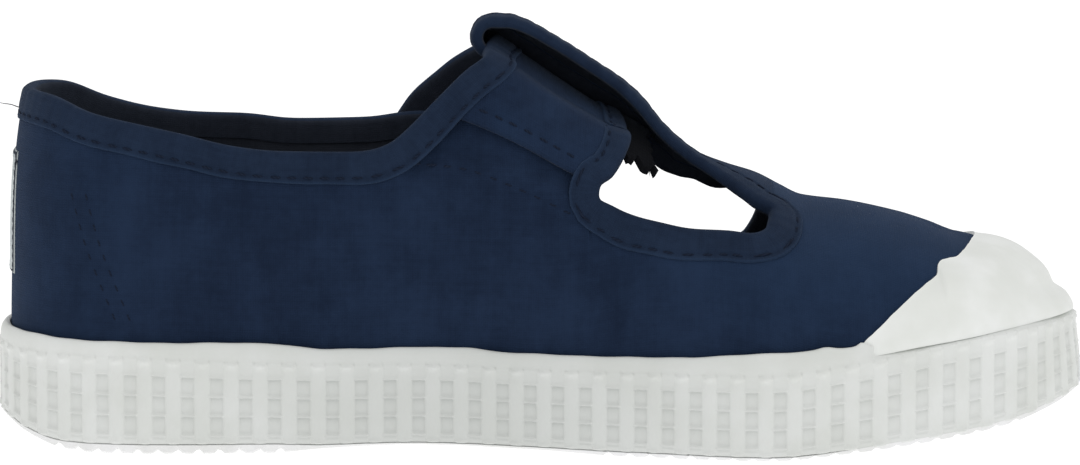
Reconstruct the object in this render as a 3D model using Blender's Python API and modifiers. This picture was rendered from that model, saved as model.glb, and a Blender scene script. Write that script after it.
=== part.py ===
"""A child's canvas T-bar shoe, left foot, 178 mm long, standing empty on its sole.

World frame in metres: +X points to the toe, +Y to the outer (lateral) side, +Z up, floor at Z = 0.
All sizes and tables below are in millimetres and are scaled by MM when a mesh is made.

The shoe is worked out from one plan outline of the sole and one dome above it. A rib of the dome rises
from each point of the outline to the crest line of the foot, as a quarter of a superellipse. Upper, toe
cap, strap and label are strips of that dome, each set in or out from it by its own distance.
"""

import bpy
import numpy as np

MM = 0.001
NAME = "canvas_t_bar_shoe"

# Driving sizes
LENGTH = 178.0
HEEL_ARC_X = -60.0
TOE_ARC_X = 36.0
HEEL_ARC_POWER = 2.3
TOE_ARC_POWER = 2.15
TOE_SWING = -4.0
SWING_START = 6.0
MIDDLE_Y = 1.274
GAP = 0.3

# Rubber sidewall
FOXING_THICK = 1.7
RIB_COUNT = 92
RIB_FIRST = -0.21
RIB_SHARE = 0.46
RIB_FLANK = 0.05
BAY_DEPTH = 0.55
BAY_FOOT = 0.9
BAY_HEAD = 0.3
BAND_SET_BACK = 0.1
BAND_TOP_SET_BACK = 1.0

# Outsole and insole
EDGE_SET_BACK = 0.3
OUTSOLE_BODY = 6.0
GROOVE_DEPTH = 1.2
GROOVE_SHARE = 0.6
TREAD_PITCH = 5.6
TREAD_FLAT = 3.4
HEEL_TREAD = (-82.0, -40.0)
FORE_TREAD = (7.0, 80.0)
TREAD_START = 1.4
WAIST_STATIONS = (-32.0, -22.0, -12.0, -3.0)
SOLE_BEVEL = 0.5
INSOLE_THICK = 2.8
INSOLE_BEVEL = 0.6

# Canvas
UPPER_WALL = 1.7
BINDING_RISE = 0.45
COLLAR_BINDING = 4.8
CUT_OUT_BINDING = 5.6
T_BAR_BINDING = 4.6
STRAP_BINDING = 4.8
BINDING_STEP = 0.35
VAMP_ROW_SHARE = 0.62
TAB_SINK = 0.9
TAB_OVERLAP = 7.3
STRAP_THICK = 1.5
STRAP_MEDIAL_OFFSET = -0.5
STRAP_LATERAL_OFFSET = 0.85
STRAP_LIFT = (100.0, 125.0)
STRAP_CREST_LIFT = 1.4
STRAP_CREST_SPREAD = 12.0
STRAP_CREST_BACK = (-4.0, 2.0)
STRAP_CREST_FRONT = (7.0, 12.0)
LOOP_RADIUS = 1.6
LOOP_LAYER_SAG = 3.4
LOOP_SAG_STATIONS = (5.0, 14.0)
CAP_THICK = 1.3
CAP_REAR_THICK = 0.6
CAP_CLEARANCE = 0.5
CAP_FIRST = 51.0
LABEL_THICK = 0.5
LABEL_HALF_WIDTH = 9.5
LABEL_LOW = 27.5
LABEL_HIGH = 47.0

INSET = FOXING_THICK + GAP
BODY_INSET = INSET + UPPER_WALL + GAP
UPPER_FULL = UPPER_WALL + BINDING_RISE

# Steps over which the dome's direction is taken
NORMAL_STEP = 0.4
NORMAL_TURN = 1.5


class Table:
    """Rows with named columns, read along the first one with a curve that never overshoots a row."""

    def __init__(self, names, *rows):
        self.key = names[0]
        self.columns = dict(zip(names, np.array(rows, float).T))

    def at(self, column, x):
        """Value of a column at x by a monotone cubic, held flat beyond the first and last rows."""
        xs = self.columns[self.key]
        ys = self.columns[column]
        x = np.clip(np.asarray(x, float), xs[0], xs[-1])
        step = np.diff(xs)
        slope = np.diff(ys) / step
        before, after = slope[:-1], slope[1:]
        same_way = before * after > 0
        total = np.where(same_way, before + after, 1.0)
        tangent = np.zeros(len(xs))
        tangent[1:-1] = np.where(same_way, 2.0 * before * after / total, 0.0)
        i = np.clip(np.searchsorted(xs, x, side="right") - 1, 0, len(xs) - 2)
        t = (x - xs[i]) / step[i]
        return (ys[i] * (2 * t**3 - 3 * t**2 + 1) + ys[i + 1] * (3 * t**2 - 2 * t**3)
                + step[i] * (tangent[i] * (t**3 - 2 * t**2 + t) + tangent[i + 1] * (t**3 - t**2)))


# Half widths of the sole between its heel arc and its toe arc
SOLE_PLAN = Table(
    ("x", "medial", "lateral"),
    (-60.0, 26.4, 26.8),
    (-22.0, 24.2, 27.8),
    (8.0, 28.4, 31.6),
    (36.0, 33.4, 33.2),
)

# Side view of the sole: underside, height of its bare edge, top of the ribs, top of the sidewall
SOLE_SIDE = Table(
    ("x", "ground", "edge", "ribs", "top"),
    (-89.0, 4.6, 1.6, 16.2, 18.9),
    (-84.0, 2.4, 1.7, 15.8, 18.6),
    (-78.0, 0.5, 1.8, 15.7, 18.3),
    (-72.0, 0.0, 2.0, 15.7, 18.1),
    (-44.0, 0.0, 2.1, 14.6, 17.8),
    (-34.0, 1.1, 1.4, 14.3, 16.7),
    (-20.0, 1.6, 1.0, 14.3, 17.0),
    (0.0, 0.8, 1.2, 13.7, 16.2),
    (14.0, 0.0, 1.3, 13.6, 16.1),
    (36.0, 0.0, 1.0, 13.7, 17.3),
    (50.0, 1.3, 1.2, 15.6, 18.3),
    (64.0, 3.0, 2.0, 18.2, 19.2),
    (76.0, 4.8, 2.3, 19.9, 21.0),
    (84.0, 6.9, 2.0, 20.7, 21.6),
    (89.0, 8.3, 2.0, 20.9, 21.6),
)

# The dome: where the rib from x meets the crest, how square the rib is, how high it stays upright
DOME = Table(
    ("x", "spine", "power", "upright"),
    (-89.0, -58.0, 3.3, 17.0),
    (-80.0, -57.0, 3.2, 16.6),
    (-60.0, -50.0, 2.8, 16.2),
    (-36.0, -33.0, 2.6, 15.2),
    (-10.0, -10.0, 2.6, 15.0),
    (20.0, 20.0, 2.35, 14.5),
    (38.0, 38.0, 2.2, 15.2),
    (52.0, 49.5, 2.15, 15.8),
    (64.0, 58.5, 2.05, 16.5),
    (76.0, 64.0, 1.9, 17.0),
    (84.0, 65.6, 1.8, 17.0),
    (89.0, 66.0, 1.8, 17.0),
)

# Crest line of the dome, and the middle line of the foot
CREST = Table(
    ("x", "z"),
    (-60.0, 76.0),
    (-30.0, 74.0),
    (-15.0, 70.4),
    (-5.4, 65.1),
    (4.0, 58.5),
    (10.4, 54.7),
    (14.5, 53.0),
    (20.0, 49.6),
    (28.0, 45.4),
    (36.0, 42.8),
    (39.3, 41.2),
    (43.0, 39.5),
    (50.0, 38.8),
    (58.0, 36.9),
    (66.0, 33.8),
)

# Upper edge of the canvas: the collar, the tab under the strap, then the lower edge of the cut-out
RIM = Table(
    ("x", "medial", "lateral"),
    (-89.0, 57.5, 57.5),
    (-84.0, 57.2, 56.8),
    (-75.0, 54.7, 53.3),
    (-66.0, 53.0, 51.1),
    (-58.0, 51.4, 50.3),
    (-50.0, 49.5, 49.9),
    (-42.0, 48.6, 49.3),
    (-29.0, 48.4, 49.5),
    (-23.0, 50.1, 50.4),
    (-20.2, 52.2, 50.8),
    (-15.0, 55.6, 51.0),
    (-9.0, 55.0, 51.0),
    (0.0, 52.0, 50.0),
    (7.2, 48.2, 46.6),
    (8.2, 41.8, 39.6),
    (12.5, 38.5, 35.6),
    (18.0, 37.3, 32.8),
    (24.0, 36.4, 31.0),
    (30.0, 35.9, 30.2),
    (33.5, 35.2, 31.2),
    (36.6, 36.4, 35.4),
    (38.2, 39.2, 39.2),
)

# T-bar: half width and top at its middle, drop to its medial and lateral edges
T_BAR = Table(
    ("x", "half", "top", "medial_drop", "lateral_drop"),
    (-7.2, 8.0, 68.8, 0.5, 0.8),
    (-5.0, 8.0, 69.3, 0.5, 0.7),
    (-2.9, 8.0, 68.8, 0.4, 0.9),
    (3.3, 8.0, 65.0, 0.3, 1.5),
    (9.8, 8.0, 61.0, 0.4, 1.4),
    (13.1, 8.0, 58.5, 0.6, 1.3),
    (16.4, 8.0, 54.9, 0.8, 3.2),
    (19.6, 8.0, 51.4, 0.5, 4.3),
    (22.9, 8.2, 48.8, 0.4, 4.4),
    (26.2, 9.0, 46.7, 0.5, 4.2),
    (30.6, 11.6, 45.0, 1.6, 3.8),
    (33.0, 13.8, 44.2, 2.8, 4.2),
    (35.0, 15.8, 43.2, 3.6, 4.4),
    (38.2, 16.1, 41.8, 4.0, 4.4),
)

# Strap edges against the turn of its arch: 90 at the crest, less on the medial side, more on the lateral
STRAP = Table(
    ("turn", "back", "front"),
    (40.0, -18.4, 9.4),
    (45.0, -15.7, 10.6),
    (54.0, -12.2, 13.4),
    (62.0, -9.4, 14.3),
    (70.0, -7.8, 14.0),
    (90.0, -5.2, 12.8),
    (112.0, -6.6, 12.4),
    (124.0, -11.2, 11.2),
    (136.0, -17.2, 8.6),
    (146.0, -23.0, 4.8),
    (156.0, -26.4, 0.4),
    (162.0, -26.0, -3.4),
    (166.0, -20.4, -9.0),
)

# Rear edge of the toe cap in side view
CAP_EDGE = Table(
    ("z", "x"),
    (17.0, 50.8),
    (21.8, 54.9),
    (27.5, 61.9),
    (29.0, 64.4),
    (30.8, 67.3),
    (32.2, 70.0),
    (33.4, 72.2),
)

UPPER_STATIONS = (-52.0, -44.0, -36.0, -29.0, -23.0, -21.0, -20.2, -15.0, -9.0, -7.2, -2.0, 3.0, 7.2, 8.2,
                  9.6, 12.5, 18.0, 24.0, 30.0, 33.5, 35.6, 37.2, 38.2, 43.4, 43.8, 47.5, 51.6, 58.0, 64.5)
CUT_OUT_FRONT = 38.2
BINDING_FRONT = 43.4
TAB_STATIONS = (-20.2, 8.2)
T_BAR_FIRST = -7.2
T_BAR_ON_DOME = (25.0, 33.0)
LOOP_LAYER_STATIONS = (-2.0, 4.0, 9.0, 13.0, 18.5)


def smoothstep(x, low, high):
    """0 below low, 1 above high, with a soft start and end."""
    t = np.clip((np.asarray(x, float) - low) / (high - low), 0.0, 1.0)
    return t * t * (3.0 - 2.0 * t)


def centre_line(x):
    """Middle line of the shoe, which swings to the medial side towards the toe."""
    return MIDDLE_Y + TOE_SWING * smoothstep(x, SWING_START, LENGTH / 2)


def half_width(x, column):
    """Half the width of the sole: superellipse arcs at heel and toe, a smooth curve between."""
    x = np.asarray(x, float)
    width = SOLE_PLAN.at(column, x)
    heel = np.clip((HEEL_ARC_X - x) / (HEEL_ARC_X + LENGTH / 2), 0.0, 1.0)
    toe = np.clip((x - TOE_ARC_X) / (LENGTH / 2 - TOE_ARC_X), 0.0, 1.0)
    heel_share = (1.0 - heel**HEEL_ARC_POWER) ** (1.0 / HEEL_ARC_POWER)
    toe_share = (1.0 - toe**TOE_ARC_POWER) ** (1.0 / TOE_ARC_POWER)
    return width * heel_share * toe_share


class Outline:
    """Closed plan outline of the sole, from the toe medially to the heel and back laterally."""

    def __init__(self, count=1200):
        angle = np.linspace(0.0, np.pi, count)
        x = LENGTH / 2 * np.cos(angle)
        medial = np.stack([x, centre_line(x) - half_width(x, "medial")], 1)
        lateral = np.stack([x, centre_line(x) + half_width(x, "lateral")], 1)[::-1]
        self.points = np.concatenate([medial, lateral[1:-1]])
        ahead = np.roll(self.points, -1, 0) - np.roll(self.points, 1, 0)
        normal = np.stack([-ahead[:, 1], ahead[:, 0]], 1)
        self.normals = -normal / np.linalg.norm(normal, axis=1)[:, None]
        if np.sum(self.normals[0] * (1.0, 0.0)) < 0:
            self.normals = -self.normals
        self.medial_count = count
        steps = np.linalg.norm(np.roll(self.points, -1, 0) - self.points, axis=1)
        self.length = float(steps.sum())
        self.distance = np.concatenate([[0.0], np.cumsum(steps)[:-1]])

    def around(self, distance, inset=0.0):
        """Points at distances round the loop, moved inwards by inset."""
        wrapped = np.mod(distance, self.length)
        grid = np.append(self.distance, self.length)
        closed = np.vstack([self.points, self.points[:1]])
        closed_normals = np.vstack([self.normals, self.normals[:1]])
        xy = np.stack([np.interp(wrapped, grid, closed[:, i]) for i in (0, 1)], -1)
        out = np.stack([np.interp(wrapped, grid, closed_normals[:, i]) for i in (0, 1)], -1)
        out /= np.linalg.norm(out, axis=-1, keepdims=True)
        inset = np.asarray(inset, float)[..., None]
        return xy - out * inset

    def distance_at(self, side, x):
        """Distance round the loop of the outline's point at x on one side (-1 medial, 1 lateral)."""
        n = self.medial_count
        if side < 0:
            return np.interp(x, self.points[:n, 0][::-1], self.distance[:n][::-1])
        xs = np.concatenate([self.points[n - 1:, 0], self.points[:1, 0]])
        along = np.concatenate([self.distance[n - 1:], [self.length]])
        return np.interp(x, xs, along)

    def arc_stations(self, x_from, x_to, count):
        """Stations in x that lie evenly along the medial side between two stations."""
        ends = self.distance_at(-1, np.array([x_from, x_to]))
        return np.interp(np.linspace(ends[0], ends[1], count),
                         self.distance[:self.medial_count], self.points[:self.medial_count, 0])


OUTLINE = Outline()


def rib_point(side, x, angle):
    """Point of the dome on the rib from outline station x; angle 0 is its foot, 90 the crest."""
    side, x, angle = np.broadcast_arrays(side, np.asarray(x, float), angle)
    foot = np.where((side < 0)[..., None],
                    OUTLINE.around(OUTLINE.distance_at(-1, x), INSET),
                    OUTLINE.around(OUTLINE.distance_at(1, x), INSET))
    spine = DOME.at("spine", x)
    power = DOME.at("power", x)
    upright = DOME.at("upright", x)
    turn = np.radians(angle)
    out = np.clip(np.cos(turn), 0.0, 1.0) ** (2.0 / power)
    up = np.clip(np.sin(turn), 0.0, 1.0) ** (2.0 / power)
    middle = centre_line(spine)
    height = upright + (CREST.at("z", spine) - upright) * up
    return np.stack([spine + (foot[..., 0] - spine) * out,
                     middle + (foot[..., 1] - middle) * out, height], -1)


def rib_normal(side, x, angle):
    """Outward direction of the dome, from small steps along the outline and up the rib."""
    side, x, angle = np.broadcast_arrays(side, np.asarray(x, float), np.minimum(angle, 88.0))
    low = np.clip(x - NORMAL_STEP, -LENGTH / 2, LENGTH / 2)
    high = np.clip(x + NORMAL_STEP, -LENGTH / 2, LENGTH / 2)
    at_heel = x - NORMAL_STEP < -LENGTH / 2
    at_toe = x + NORMAL_STEP > LENGTH / 2
    behind = rib_point(np.where(at_heel, -side, side), np.where(at_heel, high, low), angle)
    ahead = rib_point(np.where(at_toe, -side, side), np.where(at_toe, low, high), angle)
    above = rib_point(side, x, angle + NORMAL_TURN)
    below = rib_point(side, x, np.maximum(angle - NORMAL_TURN, 0.0))
    normal = np.cross(ahead - behind, above - below) * np.where(side < 0, 1.0, -1.0)[..., None]
    return normal / np.linalg.norm(normal, axis=-1, keepdims=True)


def dome(side, x, angle, offset=0.0):
    """Point at a distance outside the dome (inside where offset is negative)."""
    normal = rib_normal(side, x, angle)
    mirrored = rib_normal(-np.asarray(side), x, angle)
    share = np.clip((np.asarray(angle, float) - 80.0) / 20.0, 0.0, 0.5)[..., None]
    normal = normal * (1.0 - share) + mirrored * share
    normal = normal / np.linalg.norm(normal, axis=-1, keepdims=True)
    return rib_point(side, x, angle) + normal * np.asarray(offset, float)[..., None]


def rib_angle_at_height(x, z):
    """Angle up the rib at which the dome reaches height z."""
    upright = DOME.at("upright", x)
    share = (z - upright) / (CREST.at("z", DOME.at("spine", x)) - upright)
    return np.degrees(np.arcsin(np.clip(share, 0.0, 1.0) ** (DOME.at("power", x) / 2.0)))


def rib_angles(side, x, lengths):
    """Angles up one rib at given lengths along it, measured from its foot."""
    angle = np.linspace(0.0, 90.0, 181)
    path = rib_point(side, np.full(angle.shape, x), angle)
    along = np.concatenate([[0.0], np.cumsum(np.linalg.norm(np.diff(path, axis=0), axis=1))])
    return np.interp(lengths, along, angle)


def rib_length(side, x, angle):
    """Length up one rib from its foot to an angle."""
    angles = np.linspace(0.0, angle, 91)
    path = rib_point(side, np.full(angles.shape, x), angles)
    return float(np.linalg.norm(np.diff(path, axis=0), axis=1).sum())


# Mesh tools

def material(name, colour, roughness):
    """Plain Principled material of one sub-part."""
    finish = bpy.data.materials.new(name)
    finish.use_nodes = True
    shader = finish.node_tree.nodes["Principled BSDF"]
    shader.inputs["Base Color"].default_value = (*colour, 1.0)
    shader.inputs["Roughness"].default_value = roughness
    finish.diffuse_color = (*colour, 1.0)
    return finish


def add_object(collection, name, points, faces, finish):
    """Mesh object from points in millimetres, shaded smooth with its sharp edges kept."""
    mesh = bpy.data.meshes.new(name)
    mesh.from_pydata((np.asarray(points) * MM).tolist(), [], [tuple(map(int, face)) for face in faces])
    mesh.validate()
    mesh.shade_smooth()
    mesh.set_sharp_from_angle(angle=np.radians(35.0))
    mesh.materials.append(finish)
    piece = bpy.data.objects.new(name, mesh)
    collection.objects.link(piece)
    return piece


def add_wall(piece, thickness, weights=None):
    """Solidify an open sheet outwards; weights give each point its share of the thickness."""
    wall = piece.modifiers.new("wall", "SOLIDIFY")
    wall.thickness = thickness * MM
    wall.offset = 1.0
    wall.use_even_offset = True
    wall.use_quality_normals = True
    if weights is not None:
        group = piece.vertex_groups.new(name="wall")
        for weight in np.unique(np.round(weights, 3)):
            chosen = np.flatnonzero(np.abs(weights - weight) < 0.001)
            group.add([int(i) for i in chosen], float(weight), "REPLACE")
        wall.vertex_group = "wall"
        wall.thickness_vertex_group = 0.0


def grid_faces(index):
    """Quads of a grid of point numbers, rows by columns."""
    corners = (index[:-1, :-1], index[:-1, 1:], index[1:, 1:], index[1:, :-1])
    return np.stack([corner.ravel() for corner in corners], 1)


def loft_rings(collection, name, rings, finish):
    """Closed solid through rings that pair medial and lateral points: sides between rings, flat ends."""
    count = rings[0].shape[0]
    half = count // 2
    points = np.concatenate(rings)
    index = np.arange(len(points)).reshape(len(rings), count)
    sides = np.concatenate([index, index[:, :1]], 1)
    faces = grid_faces(sides).tolist()
    for ring, flip in ((index[0], True), (index[-1], False)):
        for i in range(half):
            quad = [ring[i], ring[i + 1], ring[-i - 1], ring[-i] if i else ring[0]]
            if i == 0:
                quad = [ring[0], ring[1], ring[-1]]
            elif i == half - 1:
                quad = [ring[i], ring[half], ring[-i]]
            faces.append(quad[::-1] if flip else quad)
    return add_object(collection, name, points, faces, finish)


def paired_ring(stations, inset, height):
    """Ring round the outline through stations heel to toe: medial side out, lateral side back."""
    medial = OUTLINE.around(OUTLINE.distance_at(-1, stations), inset)
    lateral = OUTLINE.around(OUTLINE.distance_at(1, stations[1:-1]), inset)[::-1]
    xy = np.concatenate([medial, lateral])
    z = np.concatenate([height, height[1:-1][::-1]])
    return np.column_stack([xy, z])


# Sub-parts

def tread_stations():
    """Stations of the outsole, with each bar's edges and the groove behind it, and their depths."""
    ends = {-LENGTH / 2: 0.0, LENGTH / 2: 0.0}
    for x in OUTLINE.arc_stations(-LENGTH / 2, HEEL_TREAD[0], 4)[1:]:
        ends[float(x)] = 0.0
    for x in WAIST_STATIONS:
        ends[x] = 0.0
    for x in OUTLINE.arc_stations(FORE_TREAD[1], LENGTH / 2, 4)[:-1]:
        ends[float(x)] = 0.0
    for start, stop in (HEEL_TREAD, FORE_TREAD):
        bars = int((stop - start) / TREAD_PITCH)
        for i in range(bars):
            x = start + TREAD_START + i * TREAD_PITCH
            ends[x] = 0.0
            ends[x + TREAD_FLAT] = 0.0
            ends[x + (TREAD_FLAT + TREAD_PITCH) / 2] = GROOVE_DEPTH
    stations = np.array(sorted(ends))
    return stations, np.array([ends[x] for x in stations])


def make_outsole(collection, finish):
    """Outsole: tread bars and raised waist below, a bare edge, a body inside the upper's foot."""
    stations, groove = tread_stations()
    ground = SOLE_SIDE.at("ground", stations)
    ledge = ground + SOLE_SIDE.at("edge", stations) - GAP
    groove = np.minimum(groove, (ledge - ground) * GROOVE_SHARE)
    rings = [
        paired_ring(stations, EDGE_SET_BACK + SOLE_BEVEL, ground + groove),
        paired_ring(stations, EDGE_SET_BACK, ledge),
        paired_ring(stations, BODY_INSET, ledge),
        paired_ring(stations, BODY_INSET, ground + OUTSOLE_BODY),
    ]
    return loft_rings(collection, "outsole", rings, finish)


def make_insole(collection, finish):
    """Insole: a thin plate on the outsole's body, inside the upper."""
    stations = np.concatenate([OUTLINE.arc_stations(-LENGTH / 2, -55.0, 6), np.arange(-44.0, 55.0, 11.0),
                               OUTLINE.arc_stations(60.0, LENGTH / 2, 6)])
    bottom = SOLE_SIDE.at("ground", stations) + OUTSOLE_BODY + GAP
    rings = [
        paired_ring(stations, BODY_INSET, bottom),
        paired_ring(stations, BODY_INSET, bottom + INSOLE_THICK - INSOLE_BEVEL),
        paired_ring(stations, BODY_INSET + INSOLE_BEVEL, bottom + INSOLE_THICK),
    ]
    return loft_rings(collection, "insole", rings, finish)


def make_foxing(collection, finish):
    """Sidewall band: a ring whose outer face carries upright ribs with sunk bays between them."""
    pitch = OUTLINE.length / RIB_COUNT
    shares = np.array([0.0, RIB_SHARE, RIB_SHARE + RIB_FLANK, 1.0 - RIB_FLANK])
    sunk = np.array([0.0, 0.0, BAY_DEPTH, BAY_DEPTH])
    along = (np.arange(RIB_COUNT)[:, None] + RIB_FIRST + shares[None, :]).ravel() * pitch
    depth = np.tile(sunk, RIB_COUNT)
    flat = np.zeros_like(depth)
    outer = OUTLINE.around(along)
    x = outer[:, 0]
    foot = SOLE_SIDE.at("ground", x) + SOLE_SIDE.at("edge", x)
    ribs = SOLE_SIDE.at("ribs", x)
    top = SOLE_SIDE.at("top", x)
    profile = (
        (flat + FOXING_THICK, foot),
        (flat, foot),
        (depth, foot + BAY_FOOT),
        (depth, ribs - BAY_HEAD),
        (flat + BAND_SET_BACK, ribs),
        (flat + BAND_TOP_SET_BACK, top),
        (flat + FOXING_THICK, top),
    )
    rings = [np.column_stack([OUTLINE.around(along, inset), z]) for inset, z in profile]
    count = len(along)
    index = np.arange(count * len(rings)).reshape(len(rings), count)
    index = np.concatenate([index, index[:1]], 0)
    index = np.concatenate([index, index[:, :1]], 1)
    return add_object(collection, "foxing", np.concatenate(rings), grid_faces(index[::-1]), finish)


def upper_stations():
    """Stations of the upper's ribs: even arcs round heel and toe, and the named ones between."""
    heel = OUTLINE.arc_stations(-LENGTH / 2, -60.0, 8)
    toe = OUTLINE.arc_stations(70.0, LENGTH / 2, 7)
    return np.concatenate([heel, UPPER_STATIONS, toe])


def upper_rows(side, x):
    """Angles up one rib of the upper's rows, and the share of the wall's full thickness at each."""
    column = "medial" if side < 0 else "lateral"
    body = UPPER_WALL / UPPER_FULL
    lip = 1.0
    width = COLLAR_BINDING if x < TAB_STATIONS[1] else CUT_OUT_BINDING
    if side < 0 and TAB_STATIONS[0] <= x <= TAB_STATIONS[1]:
        lip = (UPPER_WALL - TAB_SINK) / UPPER_FULL
        width = TAB_OVERLAP
    if x <= CUT_OUT_FRONT:
        rim = rib_length(side, x, rib_angle_at_height(x, RIM.at(column, x)))
    else:
        corner = rib_angle_at_height(CUT_OUT_FRONT, RIM.at(column, CUT_OUT_FRONT))
        share = rib_length(side, CUT_OUT_FRONT, corner) / rib_length(side, CUT_OUT_FRONT, 90.0)
        share += (VAMP_ROW_SHARE - share) * smoothstep(x, CUT_OUT_FRONT, LENGTH / 2)
        rim = rib_length(side, x, 90.0) * share
        if x > BINDING_FRONT:
            lip = body
    low = rim - width
    lengths = [0.0, low / 3, low * 2 / 3, low, low + BINDING_STEP, rim]
    shares = [body, body, body, body, lip, lip]
    if x >= CUT_OUT_FRONT:
        whole = rib_length(side, x, 90.0)
        inner = min(CUT_OUT_BINDING, (whole - rim) * 0.5)
        lengths += [rim + inner - BINDING_STEP, rim + inner, whole]
        shares += [lip, body, body]
    return rib_angles(side, x, np.array(lengths)), np.array(shares)


def t_bar_section(x):
    """Inner face of the T-bar across one station, from its medial edge to its lateral edge."""
    half = float(T_BAR.at("half", x))
    inner = 1.0 - T_BAR_BINDING / half
    step = BINDING_STEP / half
    across = np.array([-1.0, -inner - step, -inner, 0.0, inner, inner + step, 1.0])
    drop = np.where(across < 0, T_BAR.at("medial_drop", x), T_BAR.at("lateral_drop", x))
    raised = T_BAR.at("top", x) - UPPER_WALL - drop * across**2
    y = centre_line(x) + across * half
    laid = np.array([bed_point(x, offset, -UPPER_WALL) for offset in across * half])[:, 2]
    share = smoothstep(x, *T_BAR_ON_DOME)
    return np.column_stack([np.full(7, x), y, raised * (1.0 - share) + laid * share])


def bed_point(x, shift, offset):
    """Point of the dome at station x, a sideways shift from its middle line, moved outwards by offset."""
    side = -1 if shift < 0 else 1
    reach = abs(float(rib_point(side, x, 0.0)[1] - centre_line(x)))
    share = min(abs(shift) / reach, 1.0)
    angle = np.degrees(np.arccos(share ** (float(DOME.at("power", x)) / 2.0)))
    return dome(side, x, angle, offset)


def make_upper(collection, finish):
    """Upper: vamp, quarters and T-bar as one sheet, thickened outwards, its bound edges a step higher."""
    stations = upper_stations()
    last = len(stations) - 1
    points, weights, number = [], [], {}

    def add(key, point, weight):
        number[key] = len(points)
        points.append(point)
        weights.append(weight)

    body = UPPER_WALL / UPPER_FULL
    for side in (-1, 1):
        for k, x in enumerate(stations):
            if side > 0 and k in (0, last):
                continue
            angles, shares = upper_rows(side, x)
            inside = dome(side, np.full(angles.shape, x), angles, np.full(angles.shape, -UPPER_WALL))
            foot = inside[0].copy()
            foot[2] = SOLE_SIDE.at("ground", x) + SOLE_SIDE.at("edge", x)
            add((side, k, 0), foot, body)
            for row, point in enumerate(inside):
                if side > 0 and row == 8:
                    continue
                add((side, k, row + 1), point, shares[row])
    first = int(np.flatnonzero(stations >= T_BAR_FIRST - 0.01)[0])
    front = int(np.flatnonzero(stations == CUT_OUT_FRONT)[0])

    def at(side, k, row):
        if side > 0 and (k in (0, last) or row == 9):
            return number[(-1, k, row)]
        return number[(side, k, row)]

    faces = []
    for side in (-1, 1):
        for k in range(last):
            rows = 9 if k >= front else 6
            for row in range(rows):
                low = [at(side, k, row), at(side, k + 1, row)]
                high = [at(side, k + 1, row + 1), at(side, k, row + 1)]
                quad = low + high
                faces.append(quad if side < 0 else quad[::-1])

    # The T-bar: one strip of sections from the vamp back to its fold, round it and forward again below
    bar_weights = (1.0, 1.0, body, body, body, 1.0, 1.0)
    strip = [[at(-1, front, 6), at(-1, front, 7), at(-1, front, 8), at(-1, front, 9),
              at(1, front, 8), at(1, front, 7), at(1, front, 6)]]
    for section in t_bar_sections(stations[first:front][::-1]):
        row = []
        for point, weight in zip(section, bar_weights):
            row.append(len(points))
            points.append(point)
            weights.append(weight)
        strip.append(row)
    faces += grid_faces(np.array(strip)).tolist()
    upper = add_object(collection, "upper", points, faces, finish)
    add_wall(upper, UPPER_FULL, np.array(weights))
    return upper


def t_bar_sections(stations):
    """Sections of the T-bar's inner face: back along the top, round the fold, forward below the strap."""
    sections = [t_bar_section(x) for x in stations]
    end = sections[-1]
    slope = np.arctan2(sections[-2][3, 2] - end[3, 2], sections[-2][3, 0] - end[3, 0])
    back = np.array([-np.cos(slope), 0.0, -np.sin(slope)])
    up = np.array([-np.sin(slope), 0.0, np.cos(slope)])
    for turn in np.radians([45.0, 90.0, 135.0]):
        shift = back * LOOP_RADIUS * np.sin(turn) - up * LOOP_RADIUS * (1.0 - np.cos(turn))
        sections.append(end + shift)
    half = float(T_BAR.at("half", stations[-1]))
    inner = half - T_BAR_BINDING
    across = (-half, -inner - BINDING_STEP, -inner, 0.0, inner, inner + BINDING_STEP, half)
    depth = STRAP_MEDIAL_OFFSET - 2.0 * GAP
    for x in LOOP_LAYER_STATIONS:
        sag = np.array([0.0, 0.0, LOOP_LAYER_SAG * float(smoothstep(x, *LOOP_SAG_STATIONS))])
        sections.append(np.array([bed_point(x, shift, depth) for shift in across]) - sag)
    return sections


def make_toe_cap(collection, finish):
    """Toe cap: a rubber skin outside the dome, from the sidewall's top to its thin slanting rear edge."""
    stations = upper_stations()
    stations = stations[stations > CAP_FIRST]
    loop = [(-1, x) for x in stations] + [(1, x) for x in stations[:-1][::-1]]
    angles = np.linspace(0.0, 90.0, 361)
    columns = []
    for side, x in loop:
        path = dome(side, np.full(angles.shape, x), angles, np.full(angles.shape, CAP_CLEARANCE))
        low = np.interp(SOLE_SIDE.at("top", path[0, 0]) + GAP, path[:, 2], angles)
        behind = (path[:, 0] < CAP_EDGE.at("x", path[:, 2])) & (angles > low)
        high = angles[np.argmax(behind)] if behind.any() else 90.0
        rows = np.linspace(low, max(high, low + 3.0), 7)
        columns.append(dome(side, np.full(rows.shape, x), rows, np.full(rows.shape, CAP_CLEARANCE)))
    points = np.array(columns)
    index = np.arange(points.shape[0] * points.shape[1]).reshape(points.shape[:2]).T
    cap = add_object(collection, "toe_cap", points.reshape(-1, 3), grid_faces(index), finish)
    rear = CAP_REAR_THICK / CAP_THICK
    shares = np.array([1.0, 1.0, 1.0, 1.0, (2.0 + rear) / 3.0, (1.0 + 2.0 * rear) / 3.0, rear])
    add_wall(cap, CAP_THICK, np.tile(shares, len(loop)))
    return cap


def crest_lift(turn, x):
    """How far the strap rises off the instep under the T-bar: a bell over the crest, less at its edges."""
    bell = np.exp(-((turn - 90.0) / STRAP_CREST_SPREAD) ** 2)
    ahead = 1.0 - smoothstep(x, *STRAP_CREST_FRONT)
    return STRAP_CREST_LIFT * bell * smoothstep(x, *STRAP_CREST_BACK) * ahead


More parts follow.
